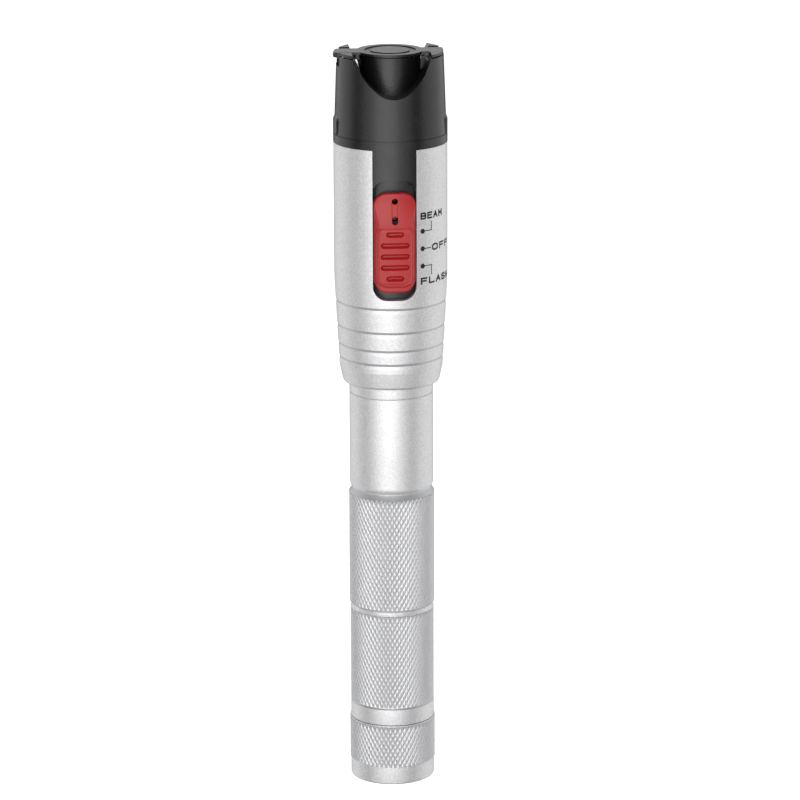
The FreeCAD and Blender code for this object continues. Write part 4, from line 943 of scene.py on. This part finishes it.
class BuildCarrier(bpy.types.Operator):
    """Black switch carrier: the ring and the spine that show, and the frame inside"""
    bl_idname = "locator.build_carrier"
    bl_label = "Switch carrier"

    def execute(self, context):
        piece = cad_copy("switch_carrier", "switch_carrier_moulded", MOULD_ROUND)
        dress(piece, finish("black"), "root", "black_plastic", "switch_carrier")
        return {"FINISHED"}


class BuildButton(bpy.types.Operator):
    """Slide button: a base that follows the head, a grooved thumb pad and two light holes"""
    bl_idname = "locator.build_button"
    bl_label = "Slide button"

    ROUND_ROWS = 30
    MIDDLE_ROWS = 170
    COLUMNS = 110
    BACK_COLUMNS = 12
    CROWDING = 0.6              # how far the columns crowd towards the sides, of 1
    GROOVES = 5
    CHANNEL_WALL = 0.12 * MM
    HOLE_SIDES = 48

    def inside(self, x, z, half, low, high, corner):
        """Distance in from a rounded rectangle's edge."""
        across = abs(x) - (half - corner)
        along = abs(z - (low + high) / 2) - ((high - low) / 2 - corner)
        outer = math.hypot(max(across, 0), max(along, 0)) + min(max(across, along), 0)
        return corner - outer

    def crown(self, size, x, outer):
        """How far a face that is flatter than the head stands over the head's curve."""
        return x * x / 2 * (1 / outer - 1 / size.face_radius)

    def ramp(self, size, x, z, pad_high, high, half, crown):
        """The ramp that narrows and rises to the pad, between hollow flanks."""
        top = high - size.ramp_start
        share = min(max((top - z) / (top - pad_high), 0), 1)
        reach = half + (size.ramp_half_width - half) * share
        fall = min(max((abs(x) - reach) / size.ramp_side, 0), 1)
        return (size.ramp_rise + crown) * share * (1 - fall) ** 2

    def thumb_pad(self, size, x, z, pad_low, pad_high, crown):
        """The raised pad with its rounded sides, sloped upper end and low rim."""
        pad = self.inside(x, z, size.pad_half_width, pad_low, pad_high, size.pad_corner)
        if pad <= 0:
            return 0.0
        side = min(pad / size.pad_side, 1)
        slope = min((pad_high - z) / size.pad_slope, 1)
        foot = min(max(1 - (z - pad_low) / size.foot_length, 0), 1)
        rise = size.pad_rise * math.sin(slope * math.pi / 2) - size.foot_fall * foot ** 1.5
        rise += crown
        rise *= math.sqrt(1 - (1 - side) ** 2)
        crest = abs(pad - size.pad_side - size.rim_width / 4) / size.rim_width
        if crest < 0.5:
            rise += size.rim_rise * slope * math.cos(math.pi * crest) ** 2
        return rise

    def grip_groove(self, size, x, z, pad_low):
        """How deep the five grip grooves go here."""
        depth = 0.0
        for index in range(self.GROOVES):
            reach = size.short_ridge if index in (0, self.GROOVES - 1) else size.long_ridge
            level = pad_low + size.ridge_start + index * size.ridge_pitch
            past = max(abs(x) - (reach - size.ridge_half_height), 0)
            inside = size.ridge_half_height - math.hypot(past, z - level)
            if inside > 0:
                share = min(inside / size.ridge_wall, 1)
                depth = size.ridge_depth * share * share * (3 - 2 * share)
        return depth

    def height(self, size, x, z, low, high, half, outer):
        """Height of the moulding over the head's curve."""
        crown = self.crown(size, x, outer)
        pad_low = low + size.pad_inset
        pad_high = pad_low + size.pad_length
        rise = max(self.ramp(size, x, z, pad_high, high, half, crown),
                   self.thumb_pad(size, x, z, pad_low, pad_high, crown))
        edge = self.inside(x, z, half, low, high, size.corner)
        if edge < size.edge_round:
            missing = size.edge_round - max(edge, 0)
            rise -= size.edge_round - math.sqrt(max(size.edge_round ** 2 - missing ** 2, 0))
        middle = (low + high) / 2
        channel = min(size.light_radius - abs(x), z - middle - size.lower_light,
                      middle + size.upper_light - z)
        if channel > 0:
            rise -= size.channel_depth * min(channel / self.CHANNEL_WALL, 1)
        return rise - self.grip_groove(size, x, z, pad_low)

    def row_places(self, size, half, span):
        """Rise and half width of each row, closer together at the rounded ends."""
        rows = []
        for step in range(self.ROUND_ROWS):
            turn = math.pi / 2 * step / self.ROUND_ROWS
            rows.append((size.corner * (1 - math.cos(turn)),
                         half - size.corner * (1 - math.sin(turn))))
        for step in range(self.MIDDLE_ROWS + 1):
            along = (span - 2 * size.corner) * step / self.MIDDLE_ROWS
            rows.append((size.corner + along, half))
        return rows + [(span - rise, wide) for rise, wide in reversed(rows[:self.ROUND_ROWS])]

    def hole(self, size, level, stretch):
        """The outline of a light hole, which may run down."""
        corners = []
        for step in range(self.HOLE_SIDES):
            turn = math.tau * step / self.HOLE_SIDES
            drop = stretch if math.sin(turn) < 0 else 0
            corners.append((size.light_radius * math.cos(turn),
                            level + size.light_radius * math.sin(turn) - drop))
        return corners

    def execute(self, context):
        size = context.scene.locator_button
        low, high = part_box("slide_button")
        half = high.x
        radius = -low.y - size.pad_rise
        shape = bmesh.new()
        front, back = [], []
        for rise, wide in self.row_places(size, half, high.z - low.z):
            z = low.z + rise
            line = []
            for step in range(self.COLUMNS + 1):
                share = 2 * step / self.COLUMNS - 1
                x = wide * (self.CROWDING * math.sin(share * math.pi / 2)
                            + (1 - self.CROWDING) * share)
                reach = radius + self.height(size, x, z, low.z, high.z, half, -low.y)
                line.append(shape.verts.new((x, -math.sqrt(reach ** 2 - x ** 2), z)))
            front.append(line)
            line = []
            for step in range(self.BACK_COLUMNS + 1):
                x = wide * (2 * step / self.BACK_COLUMNS - 1)
                line.append(shape.verts.new((x, -math.sqrt(size.back_radius ** 2 - x ** 2), z)))
            back.append(line)
        quilt(shape, front)
        quilt(shape, back)
        for end in (0, -1):
            quilt(shape, [[line[end] for line in side] for side in (front, back)])
            shape.faces.new(front[end] + list(reversed(back[end])))
        bmesh.ops.recalc_face_normals(shape, faces=shape.faces)
        piece = new_piece("slide_button_moulded", mesh_of(shape, "slide_button_moulded"))
        middle = (low.z + high.z) / 2
        wide, tall = size.lever_half_width, size.lever_half_height
        seat = [(-wide, middle - tall), (wide, middle - tall), (wide, middle + tall),
                (-wide, middle + tall)]
        for name, outline, front_end in (
                ("upper_cutter", self.hole(size, middle + size.upper_light, 0), 2 * radius),
                ("lower_cutter", self.hole(size, middle + size.lower_light,
                                           size.light_stretch), 2 * radius),
                ("lever_cutter", seat, size.lever_top)):
            cut_away(piece, prism_between(name, outline, front_end, radius / 2))
        shade(piece, finish("red"), 38)
        settle(piece, "button", "red_plastic", "slide_button")
        return {"FINISHED"}


class BuildFront(bpy.types.Operator):
    """Black front housing with its finger scoops, posts and port column"""
    bl_idname = "locator.build_front"
    bl_label = "Front housing"

    RIM_LOW, RIM_HIGH = 160 * MM, 172.15 * MM
    OUTSIDE = 11.9 * MM         # the turned outside lies beyond this
    FACING, STRAIGHT = 0.97, 0.02       # normals that point outwards, and that don't point forward
    ROUND, RIM_ROUND = 0.1 * MM, 0.3 * MM
    # The seam under the left post's top: its levels, its angles and radii in the turned outside,
    # and its x and distances forward where it ends
    SEAM = (172.2 * MM, 172.5 * MM)
    SEAM_ANGLES, SEAM_RADII = (-76, -40), (11.7 * MM, 14 * MM)
    SEAM_END, SEAM_DEPTH = (-9.45 * MM, -8.2 * MM), (12 * MM, 4 * MM)
    # The web beside the left post, and its gap: (x, z) corners in millimetres
    WEB = ((-10.0, 167.6), (-6.4, 167.6), (-6.4, 172.1), (-10.0, 172.1))
    WEB_GAP = ((-7.85, 170.45), (-7.35, 170.45), (-6.85, 168.5), (-7.2, 168.5))
    WEB_PLACE = (-3.0 * MM, -3.8 * MM)

    def is_rim(self, edge):
        """Whether the turned outside meets a finger scoop's wall here."""
        if not all(self.RIM_LOW < vertex.co.z < self.RIM_HIGH for vertex in edge.verts):
            return False
        facing = []
        for face in edge.link_faces:
            middle = face.calc_center_median()
            out = Vector((middle.x, middle.y, 0))
            facing.append(out.length > self.OUTSIDE
                          and face.normal.dot(out.normalized()) > self.FACING)
        straight = [abs(face.normal.y) < self.STRAIGHT for face in edge.link_faces]
        return (facing[0] and straight[1]) or (facing[1] and straight[0])

    def web(self):
        """The mesh of the thin web from the left post to the column, with its narrow gap."""
        wall, gap = ([(x * MM, z * MM) for x, z in outline] for outline in (self.WEB, self.WEB_GAP))
        piece = prism_between("post_web", wall, *self.WEB_PLACE)
        cut_away(piece, prism_between("web_gap_cutter", gap, 0, 2 * self.WEB_PLACE[1]))
        return take_mesh(piece)

    def execute(self, context):
        piece = cad_copy("front_housing", "front_housing_moulded", self.ROUND, self.RIM_ROUND,
                         self.is_rim)
        cut_away(piece, sector("seam_cutter", self.SEAM_RADII, self.SEAM_ANGLES, self.SEAM))
        (left, right), (low, high) = self.SEAM_END, self.SEAM
        wall = [(left, low), (right, low), (right, high), (left, high)]
        cut_away(piece, prism_between("seam_end_cutter", wall, *self.SEAM_DEPTH))
        merged(piece, self.web())
        dress(piece, finish("black"), "root", "black_plastic", "front_housing")
        return {"FINISHED"}


class BuildLid(bpy.types.Operator):
    """Dust lid with its grooved disc, arms, wing, hooks and hinge lug"""
    bl_idname = "locator.build_lid"
    bl_label = "Dust lid"

    def execute(self, context):
        piece = cad_copy("dust_lid", "dust_lid_moulded", MOULD_ROUND)
        dress(piece, finish("black"), "lid", "black_plastic", "dust_lid")
        return {"FINISHED"}


class FinishInside(bpy.types.Operator):
    """Finishes of the pieces inside, which show when the cap or the lid is open"""
    bl_idname = "locator.finish_inside"
    bl_label = "Inner pieces"

    NODES = {
        "tail_contact": "nickel", "tail_spring": "spring", "tail_seal": "rubber",
        "battery_rear": "jacket", "battery_front": "jacket", "neck_seal": "rubber",
        "contact_insulator": "acetal", "positive_contact": "brass", "circuit_board": "board",
        "board_screws": "nickel", "driver_chip": "chip", "slide_switch": "nickel",
        "switch_lever": "acetal", "status_led_upper": "green_lamp",
        "status_led_lower": "grey_lamp", "laser_housing": "brass", "laser_diode": "nickel",
        "collimating_lens": "acrylic", "lens_ring": "brass", "port_body": "nickel",
        "ceramic_sleeve": "zirconia", "lid_plug": "rubber", "hinge_pin": "nickel",
    }

    def execute(self, context):
        for node, name in self.NODES.items():
            paint(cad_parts[node], finish(name))
        return {"FINISHED"}


class BuildStage(bpy.types.Operator):
    """Pale floor, soft studio light and the camera"""
    bl_idname = "locator.build_stage"
    bl_label = "Studio"

    FLOOR_REACH, FLOOR_GLOW = 3.0, 0.75
    CARD_STEPS, DISC_SIDES = 12, 64
    # Cards round the object: name, angles in degrees, radius, levels in metres and strength
    CARDS = (("left_flag", (-89, -64), 0.5, (-0.5, 0.7), 0.02),
             ("right_flag", (38, 64), 0.5, (-0.5, 0.7), 0.02),
             ("rear_flag", (146, 206), 0.6, (-0.5, 0.1), 0.02))
    # Discs over and under it: name, level, radius and strength
    DISCS = (("upper_flag", 0.75, 0.72, 0.03), ("lower_flag", -0.3, 0.34, 0.15))
    # Lamps: name, place, the point that it faces, size, and whether reflections show it
    LAMPS = (("front_softbox", (-0.13, -0.58, 0.17), (0, 0, 0.12), (0.48, 0.64), True),
             ("top_softbox", (0.05, -0.15, 0.7), (0, 0, 0.1), (0.6, 0.6), False))
    CLIP = (0.01, 20)

    def bare_tree(self, owner):
        """The empty node tree of a new material or world."""
        owner.use_nodes = True
        owner.node_tree.nodes.clear()
        return owner.node_tree

    def floor(self):
        """A wide pale floor that is white to the camera and keeps the shadow."""
        shape = bmesh.new()
        bmesh.ops.create_grid(shape, x_segments=2, y_segments=2, size=self.FLOOR_REACH)
        floor = new_piece("floor", mesh_of(shape, "floor"))
        material = bpy.data.materials.new("pale floor")
        tree = self.bare_tree(material)
        matt = add_node(tree, "ShaderNodeBsdfDiffuse", {"Color": linear_colour("F4F4F4")})
        glow = add_node(tree, "ShaderNodeEmission", {"Strength": self.FLOOR_GLOW})
        both = add_node(tree, "ShaderNodeAddShader", {0: matt, 1: glow})
        path = add_node(tree, "ShaderNodeLightPath")
        choice = add_node(tree, "ShaderNodeMixShader",
                          {0: path.outputs["Is Camera Ray"], 1: matt, 2: both})
        add_node(tree, "ShaderNodeOutputMaterial", {"Surface": choice})
        paint(floor, material)
        floor.visible_glossy = False

    def card(self, name, degrees, radius, levels, strength):
        """A curved card between two angles round the object."""
        shape = bmesh.new()
        start, end = degrees
        turns = [math.radians(start + (end - start) * step / self.CARD_STEPS)
                 for step in range(self.CARD_STEPS + 1)]
        quilt(shape, [[shape.verts.new(place_at(radius, turn, level)) for turn in turns]
                      for level in levels])
        self.glowing(name, mesh_of(shape, name), strength)

    def disc(self, name, level, reach, strength):
        """A dim level disc: faces that look up or down are darker."""
        shape = bmesh.new()
        bmesh.ops.create_circle(shape, cap_ends=True, segments=self.DISC_SIDES, radius=reach)
        bmesh.ops.translate(shape, vec=(0, 0, level), verts=shape.verts)
        self.glowing(name, mesh_of(shape, name), strength)

    def glowing(self, name, mesh, strength):
        """A sheet with an even glow that only reflections show."""
        sheet = new_piece(name, mesh)
        material = bpy.data.materials.new(name + " paint")
        tree = self.bare_tree(material)
        glow = add_node(tree, "ShaderNodeEmission", {"Strength": strength})
        add_node(tree, "ShaderNodeOutputMaterial", {"Surface": glow})
        paint(sheet, material)
        for sight in ("camera", "diffuse", "transmission", "volume_scatter", "shadow"):
            setattr(sheet, "visible_" + sight, False)

    def lamp(self, power, name, place, aim, size, mirrored):
        """A soft rectangular lamp that faces a point."""
        data = bpy.data.lights.new(name, "AREA")
        data.shape = "RECTANGLE"
        data.size, data.size_y = size
        data.energy = power
        lamp = new_piece(name, data)
        lamp.location = place
        lamp.rotation_mode = "QUATERNION"
        lamp.rotation_quaternion = (Vector(aim) - Vector(place)).to_track_quat("-Z", "Y")
        lamp.visible_camera = False
        lamp.visible_glossy = mirrored

    def room(self, ambient):
        """White for the camera and for reflections, and an even light on everything else."""
        world = bpy.data.worlds.new("studio room")
        bpy.context.scene.world = world
        tree = self.bare_tree(world)
        path = add_node(tree, "ShaderNodeLightPath").outputs
        seen = add_node(tree, "ShaderNodeMath", {
            "operation": "MAXIMUM", 0: path["Is Camera Ray"], 1: path["Is Glossy Ray"]})
        through = add_node(tree, "ShaderNodeMath", {
            "operation": "MAXIMUM", 0: seen, 1: path["Is Transmission Ray"]})
        level = add_node(tree, "ShaderNodeMapRange",
                         {"To Min": ambient, "To Max": 1.0, "Value": through})
        glow = add_node(tree, "ShaderNodeBackground",
                        {"Color": linear_colour("FFFFFF"), "Strength": level})
        add_node(tree, "ShaderNodeOutputWorld", {"Surface": glow})

    def execute(self, context):
        studio = context.scene.locator_studio
        turn, rise = studio.azimuth, studio.elevation
        back = Vector(place_at(math.cos(rise), turn, math.sin(rise)))
        right = Vector((math.cos(turn), math.sin(turn), 0))
        target = Vector((0, 0, studio.target_level)) + right * studio.target_side
        data = bpy.data.cameras.new("camera")
        data.lens = studio.focal
        data.clip_start, data.clip_end = self.CLIP
        camera = new_piece("camera", data)
        camera.location = target + back * studio.distance
        camera.rotation_mode = "QUATERNION"
        facing = (-back).to_track_quat("-Z", "Y")
        camera.rotation_quaternion = facing @ Quaternion((0, 0, 1), -studio.roll)
        context.scene.camera = camera
        self.floor()
        for card in self.CARDS:
            self.card(*card)
        for disc in self.DISCS:
            self.disc(*disc)
        for power, lamp in zip((studio.front_power, studio.top_power), self.LAMPS):
            self.lamp(power, *lamp)
        self.room(studio.ambient)
        context.scene.view_settings.view_transform = "Standard"
        return {"FINISHED"}


class LocatorPanel(bpy.types.Panel):
    """Lists the steps that finish the fault locator"""
    bl_idname = "VIEW3D_PT_fault_locator"
    bl_label = "Fault locator"
    bl_space_type = "VIEW_3D"
    bl_region_type = "UI"
    bl_category = "Fault locator"

    def draw(self, context):
        for step in STEPS:
            self.layout.operator(step.bl_idname, text=step.bl_label)


GROUPS = {
    "locator_knurl": KnurlSizes, "locator_tube": TubeSizes, "locator_head": HeadSizes,
    "locator_button": ButtonSizes, "locator_marks": MarkSizes,
    "locator_colours": FinishColours, "locator_studio": StudioSettings,
}
STEPS = (BuildStage, BuildTube, BuildTailCap, BuildHead, BuildMarks, BuildCarrier, BuildButton,
         BuildFront, BuildLid, FinishInside)


def register():
    for item in (*GROUPS.values(), *STEPS, LocatorPanel):
        bpy.utils.register_class(item)
    for name, group in GROUPS.items():
        setattr(bpy.types.Scene, name, PointerProperty(type=group))


def unregister():
    for name in GROUPS:
        delattr(bpy.types.Scene, name)
    for item in reversed((*GROUPS.values(), *STEPS, LocatorPanel)):
        bpy.utils.unregister_class(item)


def main():
    """Build the stage and every piece."""
    register()
    for step in STEPS:
        group, name = step.bl_idname.split(".")
        getattr(getattr(bpy.ops, group), name)()


if __name__ == "__main__":
    main()
